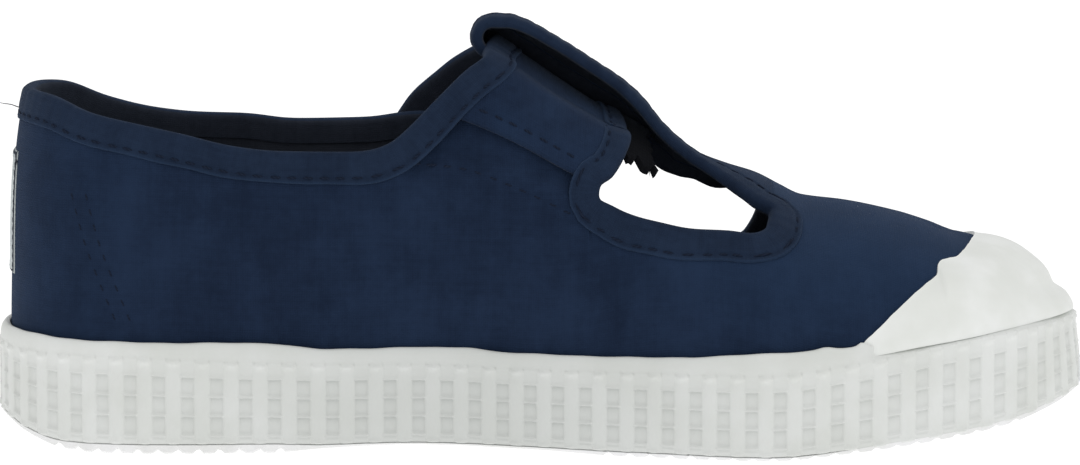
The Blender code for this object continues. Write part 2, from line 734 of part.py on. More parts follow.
def make_strap(collection, finish):
    """Instep strap: an arch over the instep, its bound front and back edges a step higher."""
    full = STRAP_THICK + BINDING_RISE
    body = STRAP_THICK / full
    turns = np.concatenate([np.linspace(40.0, 156.0, 18), [162.0, 166.0]])
    points, weights = [], []
    for turn in turns:
        back = float(STRAP.at("back", turn))
        width = float(STRAP.at("front", turn)) - back
        side = -1 if turn <= 90.0 else 1
        edge = min(STRAP_BINDING / width, 0.4)
        step = BINDING_STEP / width
        across = np.array([0.0, edge - step, edge, 0.5, 1.0 - edge, 1.0 - edge + step, 1.0])
        share = smoothstep(turn, *STRAP_LIFT)
        x = back + across * width
        offset = STRAP_MEDIAL_OFFSET * (1.0 - share) + STRAP_LATERAL_OFFSET * share + crest_lift(turn, x)
        angle = min(turn, 180.0 - turn)
        points.append(dome(side, x, np.full(7, angle), offset))
        weights.append([1.0, 1.0, body, body, body, 1.0, 1.0])
    grid = np.array(points)
    index = np.arange(grid.shape[0] * 7).reshape(grid.shape[0], 7)
    strap = add_object(collection, "instep_strap", grid.reshape(-1, 3), grid_faces(index), finish)
    add_wall(strap, full, np.array(weights).ravel())
    return strap


def make_label(collection, finish):
    """Heel label: a thin blank patch on the back of the upper."""
    middle = OUTLINE.distance_at(-1, -LENGTH / 2)
    columns = []
    for shift in np.linspace(-LABEL_HALF_WIDTH, LABEL_HALF_WIDTH, 7):
        x = float(OUTLINE.around(np.array([middle + shift]))[0, 0])
        side = 1 if shift > 0 else -1
        angles = rib_angle_at_height(x, np.linspace(LABEL_LOW, LABEL_HIGH, 5))
        columns.append(dome(side, np.full(5, x), angles, np.full(5, GAP)))
    points = np.array(columns)
    index = np.arange(points.shape[0] * points.shape[1]).reshape(points.shape[:2])
    label = add_object(collection, "heel_label", points.reshape(-1, 3), grid_faces(index), finish)
    add_wall(label, LABEL_THICK)
    return label


def main():
    """Clear the scene and build every sub-part in its collection."""
    for old in list(bpy.data.objects):
        bpy.data.objects.remove(old)
    collection = bpy.data.collections.new(NAME)
    bpy.context.scene.collection.children.link(collection)
    white_rubber = material("white_rubber", (0.80, 0.80, 0.79), 0.45)
    cap_rubber = material("cap_rubber", (0.82, 0.82, 0.82), 0.40)
    canvas = material("navy_canvas", (0.012, 0.033, 0.095), 0.85)
    strap_canvas = material("strap_canvas", (0.014, 0.036, 0.100), 0.85)
    sole_rubber = material("outsole_rubber", (0.76, 0.76, 0.74), 0.5)
    lining = material("insole_cloth", (0.55, 0.54, 0.50), 0.9)
    woven = material("label_cloth", (0.75, 0.78, 0.76), 0.8)
    make_outsole(collection, sole_rubber)
    make_foxing(collection, white_rubber)
    make_insole(collection, lining)
    make_upper(collection, canvas)
    make_strap(collection, strap_canvas)
    make_toe_cap(collection, cap_rubber)
    make_label(collection, woven)


main()
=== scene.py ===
"""Looks of a child's canvas T-bar shoe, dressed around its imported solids.

Frame: +X to the toe, +Y to the outer side of the foot, +Z up, floor at zero. Sizes are in millimetres
and become metres when a mesh is made. The shoe is drawn on one last: a plan outline with a rib of the
last rising from each of its points to the crest line. Cloth, rubber and thread are laid on that last
through flat patterns, the way a maker cuts and lays them.
"""

from __future__ import annotations

import logging
import math
from collections.abc import Callable
from dataclasses import dataclass, field
from enum import Enum

import bpy
import numpy as np
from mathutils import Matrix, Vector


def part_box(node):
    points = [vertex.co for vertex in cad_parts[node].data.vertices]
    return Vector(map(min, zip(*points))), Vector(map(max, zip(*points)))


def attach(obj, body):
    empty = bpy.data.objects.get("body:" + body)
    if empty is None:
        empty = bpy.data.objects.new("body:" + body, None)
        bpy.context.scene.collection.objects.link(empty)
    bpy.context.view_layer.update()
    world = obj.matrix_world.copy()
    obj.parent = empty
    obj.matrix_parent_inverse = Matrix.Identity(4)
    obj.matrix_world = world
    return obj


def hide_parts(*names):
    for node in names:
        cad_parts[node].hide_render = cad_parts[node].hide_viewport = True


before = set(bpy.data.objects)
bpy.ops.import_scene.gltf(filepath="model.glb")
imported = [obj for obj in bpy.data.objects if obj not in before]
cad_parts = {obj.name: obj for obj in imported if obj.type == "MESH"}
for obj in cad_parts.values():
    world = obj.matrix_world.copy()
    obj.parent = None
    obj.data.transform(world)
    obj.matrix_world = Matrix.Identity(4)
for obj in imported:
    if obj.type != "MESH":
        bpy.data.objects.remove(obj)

MM = 0.001
LOG = logging.getLogger("shoe")
Array = np.ndarray
Pair = tuple[float, float]
Triple = tuple[float, float, float]
Colour = tuple[float, float, float, float]
Socket = bpy.types.NodeSocket
Pieces = list[bpy.types.Object]


class Side(Enum):
    """Side of the foot; the value is the sign of Y."""

    MEDIAL = -1
    LATERAL = 1


# ------------ sizes and curves


class Table:
    """Rows with named columns, read along the first one with a curve that never overshoots a row."""

    def __init__(self, names: tuple[str, ...], *rows: tuple[float, ...]) -> None:
        """Keep each column as an array under its name."""
        self.key = names[0]
        self.columns = dict(zip(names, np.array(rows, float).T))

    def at(self, column: str, x: Array | float) -> Array:
        """Monotone cubic through the rows, flat beyond the first and last.

        Args:
            column: Name of the column.
            x: Places along the first column.

        Returns:
            The column's values at those places.
        """
        xs, ys = self.columns[self.key], self.columns[column]
        x = np.clip(np.asarray(x, float), xs[0], xs[-1])
        step = np.diff(xs)
        slope = np.diff(ys) / step
        before, after = slope[:-1], slope[1:]
        same_way = before * after > 0
        total = np.where(same_way, before + after, 1.0)
        tangent = np.zeros(len(xs))
        tangent[1:-1] = np.where(same_way, 2.0 * before * after / total, 0.0)
        i = np.clip(np.searchsorted(xs, x, side="right") - 1, 0, len(xs) - 2)
        t = (x - xs[i]) / step[i]
        bend = tangent[i] * (t**3 - 2 * t**2 + t) + tangent[i + 1] * (t**3 - t**2)
        return ys[i] * (2 * t**3 - 3 * t**2 + 1) + ys[i + 1] * (3 * t**2 - 2 * t**3) + step[i] * bend


SOLE_PLAN = Table(
    ("x", "medial", "lateral"),
    (-60.0, 26.4, 26.8),
    (-22.0, 24.2, 27.8),
    (8.0, 28.4, 31.6),
    (36.0, 33.4, 33.2),
)

# Side view of the sole: underside, height of its bare edge, top of the ribs, top of the sidewall
SOLE_SIDE = Table(
    ("x", "ground", "edge", "ribs", "top"),
    (-89.0, 4.2, 1.1, 16.2, 18.9),
    (-84.0, 2.3, 1.2, 15.8, 18.6),
    (-78.0, 0.5, 1.5, 15.7, 18.3),
    (-72.0, 0.0, 1.8, 15.7, 18.1),
    (-44.0, 0.0, 1.8, 14.6, 17.8),
    (-34.0, 0.7, 0.9, 14.3, 16.7),
    (-20.0, 1.2, 0.7, 14.3, 17.0),
    (0.0, 0.7, 0.8, 13.7, 16.2),
    (14.0, 0.0, 1.1, 13.6, 16.1),
    (36.0, 0.0, 0.9, 13.7, 17.3),
    (50.0, 1.3, 0.9, 15.6, 18.3),
    (64.0, 3.1, 0.9, 18.2, 19.2),
    (76.0, 5.0, 0.9, 19.9, 21.1),
    (84.0, 7.3, 0.9, 20.6, 21.8),
    (89.0, 8.8, 0.9, 20.8, 22.2),
)

# The last: where the rib from x meets the crest, how square the rib is, how high it stays upright
RIBS = Table(
    ("x", "spine", "power", "upright"),
    (-89.0, -58.0, 3.3, 17.0),
    (-80.0, -57.0, 3.2, 16.6),
    (-60.0, -50.0, 2.8, 16.2),
    (-36.0, -33.0, 2.6, 15.2),
    (-10.0, -10.0, 2.6, 15.0),
    (20.0, 20.0, 2.35, 14.5),
    (38.0, 38.0, 2.2, 15.2),
    (52.0, 49.5, 2.15, 15.8),
    (64.0, 58.5, 2.05, 16.5),
    (76.0, 64.0, 1.87, 17.0),
    (84.0, 65.6, 1.75, 17.0),
    (89.0, 66.0, 1.72, 17.0),
)

CREST = Table(
    ("x", "z"),
    (-60.0, 76.0),
    (-30.0, 74.0),
    (-15.0, 70.4),
    (-5.4, 65.1),
    (4.0, 58.5),
    (10.4, 54.7),
    (14.5, 53.0),
    (20.0, 49.6),
    (28.0, 45.4),
    (36.0, 42.6),
    (39.3, 40.9),
    (43.0, 39.2),
    (50.0, 38.4),
    (58.0, 36.8),
    (62.0, 35.5),
    (66.0, 33.9),
)

# Upper edge of the canvas: the collar, the tab under the strap, then the lower edge of the cut-out
RIM = Table(
    ("x", "medial", "lateral"),
    (-89.0, 57.6, 57.6),
    (-84.0, 57.3, 57.1),
    (-75.0, 54.7, 53.9),
    (-66.0, 53.0, 51.8),
    (-58.0, 51.4, 51.0),
    (-50.0, 49.5, 50.8),
    (-42.0, 48.6, 49.9),
    (-29.0, 48.4, 50.1),
    (-23.0, 50.1, 51.0),
    (-20.2, 52.2, 51.2),
    (-15.0, 55.6, 51.0),
    (-9.0, 55.0, 51.0),
    (0.0, 52.0, 50.0),
    (7.2, 47.8, 46.0),
    (7.9, 42.3, 37.4),
    (8.4, 41.5, 36.8),
    (9.4, 40.9, 35.6),
    (11.0, 40.2, 34.3),
    (12.5, 39.4, 33.4),
    (15.0, 38.5, 32.3),
    (18.0, 37.8, 31.5),
    (24.0, 36.6, 30.1),
    (30.0, 36.2, 29.3),
    (34.0, 35.7, 29.9),
    (36.9, 36.4, 34.4),
    (38.2, 39.0, 39.0),
)

# T-bar: half width and top at its middle, drop to its medial and lateral edges
T_BAR = Table(
    ("x", "half", "top", "medial_drop", "lateral_drop"),
    (-7.2, 8.0, 69.2, 0.6, 3.2),
    (-5.0, 8.0, 69.1, 0.5, 5.2),
    (-2.9, 8.0, 68.5, 0.4, 6.1),
    (3.3, 8.0, 65.1, 0.2, 7.1),
    (9.8, 8.0, 60.9, 0.3, 7.1),
    (13.1, 8.0, 58.7, 0.5, 6.2),
    (16.4, 8.0, 55.8, 0.8, 7.9),
    (19.6, 8.0, 51.7, 0.5, 8.4),
    (22.9, 8.2, 48.5, 0.4, 6.7),
    (26.2, 9.0, 46.2, 0.5, 4.9),
    (30.6, 11.6, 44.5, 1.6, 5.3),
    (33.0, 13.8, 43.7, 2.8, 5.5),
    (35.0, 15.8, 42.9, 3.6, 4.4),
    (38.2, 16.1, 41.5, 4.0, 4.4),
)

# Strap edges against the turn of its arch: 90 at the crest, less medially, more laterally
STRAP = Table(
    ("turn", "back", "front"),
    (39.0, -18.8, 9.2),
    (45.0, -15.7, 11.5),
    (54.0, -12.2, 13.4),
    (62.0, -9.4, 14.4),
    (70.0, -8.6, 14.8),
    (78.0, -8.1, 14.8),
    (90.0, -7.2, 13.8),
    (112.0, -7.8, 12.5),
    (124.0, -11.2, 11.2),
    (136.0, -17.2, 8.6),
    (146.0, -23.0, 4.8),
    (156.0, -26.4, 0.4),
    (162.0, -26.0, -3.4),
    (166.0, -20.4, -9.0),
)

# Rear edge of the toe cap in side view
CAP_EDGE = Table(
    ("z", "x"),
    (17.0, 50.8),
    (21.8, 54.9),
    (27.5, 61.9),
    (29.0, 64.4),
    (30.8, 67.1),
    (32.2, 69.6),
    (33.4, 71.6),
)

CUT_OUT_FRONT = 38.2
FOLD_X = -7.2
MIDDLE_OFFSET = 1.274
WALL = 1.7
ROLL_ROOM = 0.5


def smoothstep(x: Array | float, low: float, high: float) -> Array:
    """0 below low, 1 above high, with a soft start and end: t squared times (3 - 2t)."""
    t = np.clip((np.asarray(x, float) - low) / (high - low), 0.0, 1.0)
    return t * t * (3.0 - 2.0 * t)


def unit(vectors: Array) -> Array:
    """Vectors along the last axis brought to length one."""
    return vectors / np.maximum(np.linalg.norm(vectors, axis=-1, keepdims=True), 1e-12)


def soften(path: Array, radius: float) -> Array:
    """Round the corners of an open path with a Gaussian of the given radius in steps of the path.

    Args:
        path: Points in rows.
        radius: Width of the Gaussian, in points.

    Returns:
        The path with its corners rounded and its ends kept.
    """
    reach = int(math.ceil(3 * radius))
    weights = np.exp(-0.5 * (np.arange(-reach, reach + 1) / radius) ** 2)
    weights /= weights.sum()
    first = 2 * path[:1] - path[reach:0:-1]
    last = 2 * path[-1:] - path[-2:-reach - 2:-1]
    padded = np.concatenate([first, path, last])
    columns = [np.convolve(padded[:, i], weights, mode="valid") for i in range(path.shape[1])]
    return np.stack(columns, 1)


def along(path: Array, measure: Array, places: Array) -> Array:
    """Points of a path at places of its own running measure."""
    return np.stack([np.interp(places, measure, path[:, i]) for i in range(path.shape[1])], -1)


def running_length(points: Array) -> Array:
    """Length from the first point of a path to each of its points."""
    return summed(np.linalg.norm(np.diff(points, axis=0), axis=1))


def seeded_noise(seed: int, count: int, low: float, high: float) -> Array:
    """Repeatable random numbers between two bounds."""
    return np.random.default_rng(seed).uniform(low, high, count)


def bell(x: Array | float, middle: float, spread: float) -> Array:
    """1 at the middle and near 0 two spreads away: e to minus the squared distance in spreads."""
    return np.exp(-(((x - middle) / spread) ** 2))


def plateau(x: Array | float, rise: Pair, fall: Pair) -> Array:
    """1 between a soft rise and a soft fall, 0 outside them."""
    return smoothstep(x, *rise) * (1.0 - smoothstep(x, *fall))


def waves(x: Array, *terms: tuple[float, float, float | Array]) -> Array:
    """Sum of sines of x, each with its height, its radians per millimetre and its phase."""
    return sum(height * np.sin(x * rate + phase) for height, rate, phase in terms)


def summed(steps: Array, axis: int = 0) -> Array:
    """Running sum along an axis, from zero."""
    return np.concatenate([np.zeros_like(np.take(steps, [0], axis)), np.cumsum(steps, axis)], axis)


def ringed(grid: Array, axis: int = 1) -> Array:
    """Grid with its first row or column again after its last, which closes it round."""
    return np.concatenate([grid, np.take(grid, [0], axis)], axis)


# ------------ the last


@dataclass
class Last:
    """The form the shoe is made on: a plan outline and the ribs that rise from it to the crest.

    The outline's half width is a table between the heel arc and the toe arc, and at each end a
    superellipse of that width. A rib is a quarter of a superellipse from the outline to the crest.
    """

    length: float
    middle_y: float
    heel_arc: float = -60.0
    toe_arc: float = 36.0
    heel_power: float = 2.3
    toe_power: float = 2.15
    toe_swing: float = -4.0
    swing_start: float = 6.0
    inset: float = 2.0
    samples: int = 2400
    measured: int = 901
    normal_step: float = 0.4
    normal_tilt: float = 1.5
    steepest: float = 88.0
    blend_turn: float = 80.0
    blend_span: float = 20.0
    turns: Array = field(default_factory=lambda: np.linspace(0.0, 90.0, 181))

    def __post_init__(self) -> None:
        """Lay out the plan outline, then measure the length up every rib."""
        angle = np.linspace(0.0, np.pi, self.samples)
        x = self.length / 2 * np.cos(angle)
        medial = np.stack([x, self.middle(x) - self.half(x, Side.MEDIAL)], 1)
        lateral = np.stack([x, self.middle(x) + self.half(x, Side.LATERAL)], 1)[::-1]
        points = np.concatenate([medial, lateral[1:]])
        ahead = np.gradient(points, axis=0)
        ahead[0] = ahead[-1] = points[1] - points[-2]
        self.outline = points
        self.outward = unit(np.stack([ahead[:, 1], -ahead[:, 0]], 1))
        if self.outward[0, 0] < 0:
            self.outward = -self.outward
        self.distance = running_length(points)
        self.around = float(self.distance[-1])
        self.heel = float(self.distance[self.samples - 1])
        self.columns = np.linspace(0.0, self.around, self.measured)
        grid_u, grid_turn = np.meshgrid(self.columns, self.turns, indexing="ij")
        path = self.rib(grid_u, grid_turn)
        self.lengths = summed(np.linalg.norm(np.diff(path, axis=1), axis=2), 1)

    def is_medial(self, u: Array) -> Array:
        """True at the loop distances of the medial side, which comes first round the loop."""
        return np.mod(u, self.around) < self.heel

    def middle(self, x: Array | float) -> Array:
        """Middle line of the shoe, which swings to the medial side towards the toe."""
        return self.middle_y + self.toe_swing * smoothstep(x, self.swing_start, self.length / 2)

    def half(self, x: Array | float, side: Side) -> Array:
        """Half the width of the sole on one side at stations x.

        Args:
            x: Stations.
            side: Side of the foot.

        Returns:
            Widths from the middle line.
        """
        x = np.asarray(x, float)
        width = SOLE_PLAN.at(side.name.lower(), x)
        end = self.length / 2
        heel = np.clip((self.heel_arc - x) / (self.heel_arc + end), 0.0, 1.0)
        toe = np.clip((x - self.toe_arc) / (end - self.toe_arc), 0.0, 1.0)
        heel_share = (1.0 - heel**self.heel_power) ** (1.0 / self.heel_power)
        toe_share = (1.0 - toe**self.toe_power) ** (1.0 / self.toe_power)
        return width * heel_share * toe_share

    def plan(self, u: Array, inset: Array | float = 0.0) -> Array:
        """Outline points at distances round the loop.

        Args:
            u: Loop distances.
            inset: How far the points move inwards.

        Returns:
            Points in plan.
        """
        u = np.mod(u, self.around)
        xy = np.stack([np.interp(u, self.distance, self.outline[:, i]) for i in (0, 1)], -1)
        out = np.stack([np.interp(u, self.distance, self.outward[:, i]) for i in (0, 1)], -1)
        return xy - unit(out) * np.asarray(inset, float)[..., None]

    def outwards(self, u: Array) -> Array:
        """Horizontal unit vectors out of the outline at distances round the loop."""
        u = np.mod(u, self.around)
        out = np.stack([np.interp(u, self.distance, self.outward[:, i]) for i in (0, 1)], -1)
        return np.concatenate([unit(out), np.zeros(u.shape + (1,))], -1)

    def loop_at(self, side: Side, x: Array | float) -> Array:
        """Where the outline passes a station on one side.

        Args:
            side: Side of the foot.
            x: Stations.

        Returns:
            Distances round the loop.
        """
        n = self.samples
        if side is Side.MEDIAL:
            return np.interp(x, self.outline[:n, 0][::-1], self.distance[:n][::-1])
        return np.interp(x, self.outline[n - 1:, 0], self.distance[n - 1:])

    def loop_of(self, medial: Array, x: Array) -> Array:
        """Distances round the loop at stations x, on the medial side where the mask is true."""
        return np.where(medial, self.loop_at(Side.MEDIAL, x), self.loop_at(Side.LATERAL, x))

    def rib(self, u: Array, turn: Array) -> Array:
        """Point of the last on the rib from loop distance u; turn 0 is its foot, 90 the crest.

        Args:
            u: Loop distances.
            turn: Degrees up the rib.

        Returns:
            Points: the spine plus (foot - spine) times cos(turn) to the power 2/p, and a height that
            goes from the upright part to the crest with sin(turn) to the power 2/p.
        """
        x = self.plan(u)[..., 0]
        foot = self.plan(u, self.inset)
        spine = RIBS.at("spine", x)
        power = 2.0 / RIBS.at("power", x)
        upright = RIBS.at("upright", x)
        angle = np.radians(turn)
        out = np.clip(np.cos(angle), 0.0, 1.0) ** power
        up = np.clip(np.sin(angle), 0.0, 1.0) ** power
        middle = self.middle(spine)
        height = upright + (CREST.at("z", spine) - upright) * up
        across = middle + (foot[..., 1] - middle) * out
        return np.stack([spine + (foot[..., 0] - spine) * out, across, height], -1)

    def normal(self, u: Array, turn: Array) -> Array:
        """Outward direction of the last, blended with the other side's near the crest.

        Args:
            u: Loop distances.
            turn: Degrees up the rib.

        Returns:
            Unit vectors.
        """
        turn = np.asarray(turn, float)
        x = self.plan(u)[..., 0]
        other = self.loop_of(~self.is_medial(u), x)
        one, two = (self._side_normal(loops, np.minimum(turn, self.steepest)) for loops in (u, other))
        share = np.clip((turn - self.blend_turn) / self.blend_span, 0.0, 0.5)[..., None]
        return unit(one * (1.0 - share) + two * share)

    def _side_normal(self, u: Array, turn: Array) -> Array:
        """Cross product of small steps round the loop and up the rib.

        Args:
            u: Loop distances.
            turn: Degrees up the rib.

        Returns:
            Unit vectors that face outwards.
        """
        step, tilt = self.normal_step, self.normal_tilt
        ahead = self.rib(u + step, turn) - self.rib(u - step, turn)
        up = self.rib(u, turn + tilt) - self.rib(u, np.maximum(turn - tilt, 0.0))
        return unit(np.cross(up, ahead))

    def total(self, u: Array) -> Array:
        """Whole length of the rib at each loop distance."""
        return np.interp(np.mod(u, self.around), self.columns, self.lengths[:, -1])

    def _column(self, u: Array) -> tuple[Array, Array]:
        """The measured rib before each loop distance, and the part of the way to the next."""
        place = np.mod(u, self.around) / self.around * (len(self.columns) - 1)
        row = np.clip(place.astype(int), 0, len(self.columns) - 2)
        return row, place - row

    def turn_at(self, u: Array, length: Array, from_crest: bool = False) -> Array:
        """Degrees up the rib at a length along it.

        Args:
            u: Loop distances.
            length: Lengths, of the same shape.
            from_crest: True where the lengths count down from the crest.

        Returns:
            The turn by interpolation in the two nearest measured ribs.
        """
        # Each rib's lengths are set past those of the one before, so that one table reads all of them
        row, part = self._column(u)
        span = 1000.0
        flat = (self.lengths + span * np.arange(len(self.columns))[:, None]).ravel()
        grid = np.tile(self.turns, len(self.columns))

        def read(which: Array) -> Array:
            """Turn by interpolation up one measured rib."""
            whole = self.lengths[which, -1]
            wanted = np.clip(whole - length if from_crest else length, 0.0, whole)
            return np.interp(wanted + span * which, flat, grid)

        return read(row) * (1.0 - part) + read(row + 1) * part

    def length_at(self, u: Array, turn: Array) -> Array:
        """Length up the rib at a turn.

        Args:
            u: Loop distances.
            turn: Degrees up the rib.

        Returns:
            Lengths from the rib's foot.
        """
        row, part = self._column(u)
        place = np.clip(np.asarray(turn, float) / 90.0, 0.0, 1.0) * (len(self.turns) - 1)
        low = np.clip(place.astype(int), 0, len(self.turns) - 2)
        bit = place - low

        def read(which: Array) -> Array:
            """Length by interpolation up one measured rib."""
            return self.lengths[which, low] * (1.0 - bit) + self.lengths[which, low + 1] * bit

        return read(row) * (1.0 - part) + read(row + 1) * part

    def turn_at_height(self, u: Array, z: Array) -> Array:
        """Where the last reaches a height.

        Args:
            u: Loop distances.
            z: Heights.

        Returns:
            Degrees up the rib.
        """
        x = self.plan(u)[..., 0]
        upright = RIBS.at("upright", x)
        share = (z - upright) / (CREST.at("z", RIBS.at("spine", x)) - upright)
        return np.degrees(np.arcsin(np.clip(share, 0.0, 1.0) ** (RIBS.at("power", x) / 2.0)))

    def rim_length(self, u: Array) -> Array:
        """Length up the rib to the raw edge of the canvas, which the tape's roll stands over."""
        x = self.plan(u)[..., 0]
        height = np.where(self.is_medial(u), RIM.at("medial", x), RIM.at("lateral", x))
        return self.length_at(u, self.turn_at_height(u, height)) - ROLL_ROOM


@dataclass
class Crease:
    """A soft trough or ridge of the canvas along a line in side view, in millimetres."""

    side: Side
    start: Pair
    stop: Pair
    width: float
    depth: float
    end_widths: float = 1.6
    side_fade: Pair = (2.0, 10.0)

    def lift(self, points: Array) -> Array:
        """Height that the crease adds: depth times a bell across the line, faded at both ends.

        Args:
            points: Points of the bare last.

        Returns:
            Heights over the last, on the crease's own side alone.
        """
        start = np.array(self.start)
        line = np.array(self.stop) - start
        length = float(np.linalg.norm(line))
        local = points[..., [0, 2]] - start
        run = local @ (line / length)
        off = local @ (np.array([-line[1], line[0]]) / length)
        beyond = np.maximum(np.maximum(-run, run - length), 0.0)
        across = np.exp(-((off / self.width) ** 2) - (beyond / (self.end_widths * self.width)) ** 2)
        return self.depth * across * smoothstep(points[..., 1] * self.side.value, *self.side_fade)


M, L = Side.MEDIAL, Side.LATERAL
CREASES = (
    Crease(M, (-30.0, 33.0), (14.0, 31.0), 6.0, -0.55),
    Crease(M, (-66.0, 44.0), (-44.0, 40.0), 8.0, 0.35),
    Crease(M, (-16.0, 24.0), (22.0, 24.5), 4.5, 0.35),
    Crease(M, (20.0, 30.0), (44.0, 28.0), 3.6, 0.30),
    Crease(M, (46.0, 35.0), (58.0, 22.0), 4.0, -0.22),
    Crease(M, (-62.0, 34.0), (-54.0, 20.0), 3.0, -0.28),
    Crease(M, (-74.0, 42.0), (-64.0, 20.0), 1.5, 0.16),
    Crease(M, (38.0, 24.0), (50.0, 21.0), 2.4, 0.22),
    Crease(M, (-46.0, 26.0), (-28.0, 22.0), 4.0, -0.25),
    Crease(L, (-30.0, 36.0), (10.0, 32.0), 6.0, -0.45),
    Crease(L, (-64.0, 44.0), (-44.0, 38.0), 8.0, 0.30),
    Crease(L, (18.0, 27.0), (44.0, 24.0), 3.6, 0.28),
    Crease(L, (-72.0, 42.0), (-60.0, 22.0), 2.6, -0.22),
    Crease(L, (-14.0, 24.0), (14.0, 22.0), 4.0, 0.25),
    Crease(L, (46.0, 34.0), (60.0, 22.0), 4.0, -0.20),
)

# Pucker of lasted cloth: its height, radians per millimetre of x and per radian round the shoe, and phase
PUCKERS = ((0.07, 0.55, 2.0, 0.0), (0.10, 0.23, -3.0, 1.0))
PUCKER_FOOT, PUCKER_FADE = 17.0, 5.0
SWELL, SWELL_X, SWELL_Z, SWELL_SIDE = 0.12, 0.11, 0.09, 0.6
SWELL_HEIGHTS = (20.0, 30.0)


def relief(points: Array) -> Array:
    """Creases of the canvas, plus the slight pucker of lasted cloth just above the sidewall.

    Args:
        points: Points of the bare last.

    Returns:
        Height above the last: the sum of the creases, of two slow waves that die away upwards, and of
        a broad swell that starts over them.
    """
    x, y, z = points[..., 0], points[..., 1], points[..., 2]
    swing = np.arctan2(y, x + 5.0)
    pucker = sum(height * np.sin(rate * x + turn * swing + phase) for height, rate, turn, phase in PUCKERS)
    low = np.exp(-np.maximum(z - PUCKER_FOOT, 0.0) / PUCKER_FADE)
    swell = SWELL * np.sin(SWELL_X * x + SWELL_Z * z + SWELL_SIDE * np.sign(y))
    lifts = sum(crease.lift(points) for crease in CREASES)
    return lifts + pucker * low + swell * smoothstep(z, *SWELL_HEIGHTS)


# ------------ flat patterns


class Pattern:
    """A flat pattern laid on the last: places a and b in the pattern become points of the shoe."""

    def __init__(self, last: Last) -> None:
        """Keep the last."""
        self.last = last

    def point(self, a: Array, b: Array, height: Array | float = 0.0) -> Array:
        """Point of the shoe at a place of the pattern, height above the layer's outer face."""
        raise NotImplementedError

    def slopes(self, a: Array, b: Array, step: float = 0.3) -> tuple[Array, Array]:
        """How the point moves for one millimetre of a and of b, by central differences."""
        along_a = (self.point(a + step, b) - self.point(a - step, b)) / (2 * step)
        along_b = (self.point(a, b + step) - self.point(a, b - step)) / (2 * step)
        return along_a, along_b


class RibPattern(Pattern):
    """Pattern with a = distance round the loop and b = length up the rib; below 0 the wall is upright."""

    foot_blend = (0.0, 3.0)
    least_turn = 2.0

    def point(self, a: Array, b: Array, height: Array | float = 0.0) -> Array:
        """Point on the rib, plus the creases and the height along the last's normal.

        Args:
            a: Loop distances.
            b: Lengths up the rib.
            height: Heights over the cloth's outer face.

        Returns:
            Points; near the rib's foot the normal turns level.
        """
        a, b = np.broadcast_arrays(np.asarray(a, float), np.asarray(b, float))
        turn = self.last.turn_at(a, np.maximum(b, 0.0))
        base = self.last.rib(a, turn)
        base[..., 2] += np.minimum(b, 0.0)
        upright = smoothstep(b, *self.foot_blend)[..., None]
        flat = self.last.outwards(a)
        normal = self.last.normal(a, np.maximum(turn, self.least_turn))
        normal = unit(normal * upright + flat * (1.0 - upright))
        return base + normal * (relief(base) + height)[..., None]


class CrestPattern(Pattern):
    """Pattern with a = station x and b = length from the crest along the rib, negative medially."""

    step = 0.5

    def loops(self, a: Array, b: Array) -> Array:
        """Distance round the loop of the rib at station a on b's side."""
        return self.last.loop_of(b < 0, a)

    def bare(self, a: Array, b: Array) -> Array:
        """Point of the bare last at a place of the pattern."""
        u = self.loops(a, b)
        return self.last.rib(u, self.last.turn_at(u, np.abs(b), from_crest=True))

    def surface(self, a: Array, b: Array) -> Array:
        """Point of this layer's own outer face at a place of the pattern."""
        raise NotImplementedError

    def facing(self, shape: Callable[[Array, Array], Array], a: Array, b: Array) -> Array:
        """Outward unit vectors of a surface over the pattern, by central differences."""
        along_a = shape(a + self.step, b) - shape(a - self.step, b)
        along_b = shape(a, b + self.step) - shape(a, b - self.step)
        return unit(np.cross(along_a, along_b))

    def point(self, a: Array, b: Array, height: Array | float = 0.0) -> Array:
        """Point of the layer, raised along its own normal by height."""
        a, b, height = np.broadcast_arrays(*(np.asarray(values, float) for values in (a, b, height)))
        return self.surface(a, b) + self.facing(self.surface, a, b) * height[..., None]

    def place_at_turn(self, x: Array, turn: Array) -> Array:
        """Where a turn of the arch lies in the pattern.

        Args:
            x: Stations.
            turn: Turns: 0 medial foot, 90 crest, 180 lateral foot.

        Returns:
            Lengths from the crest, negative medially.
        """
        medial = turn <= 90.0
        u = self.last.loop_of(medial, x)
        bend = np.where(medial, turn, 180.0 - turn)
        length = self.last.total(u) - self.last.length_at(u, bend)
        return np.where(medial, -length, length)


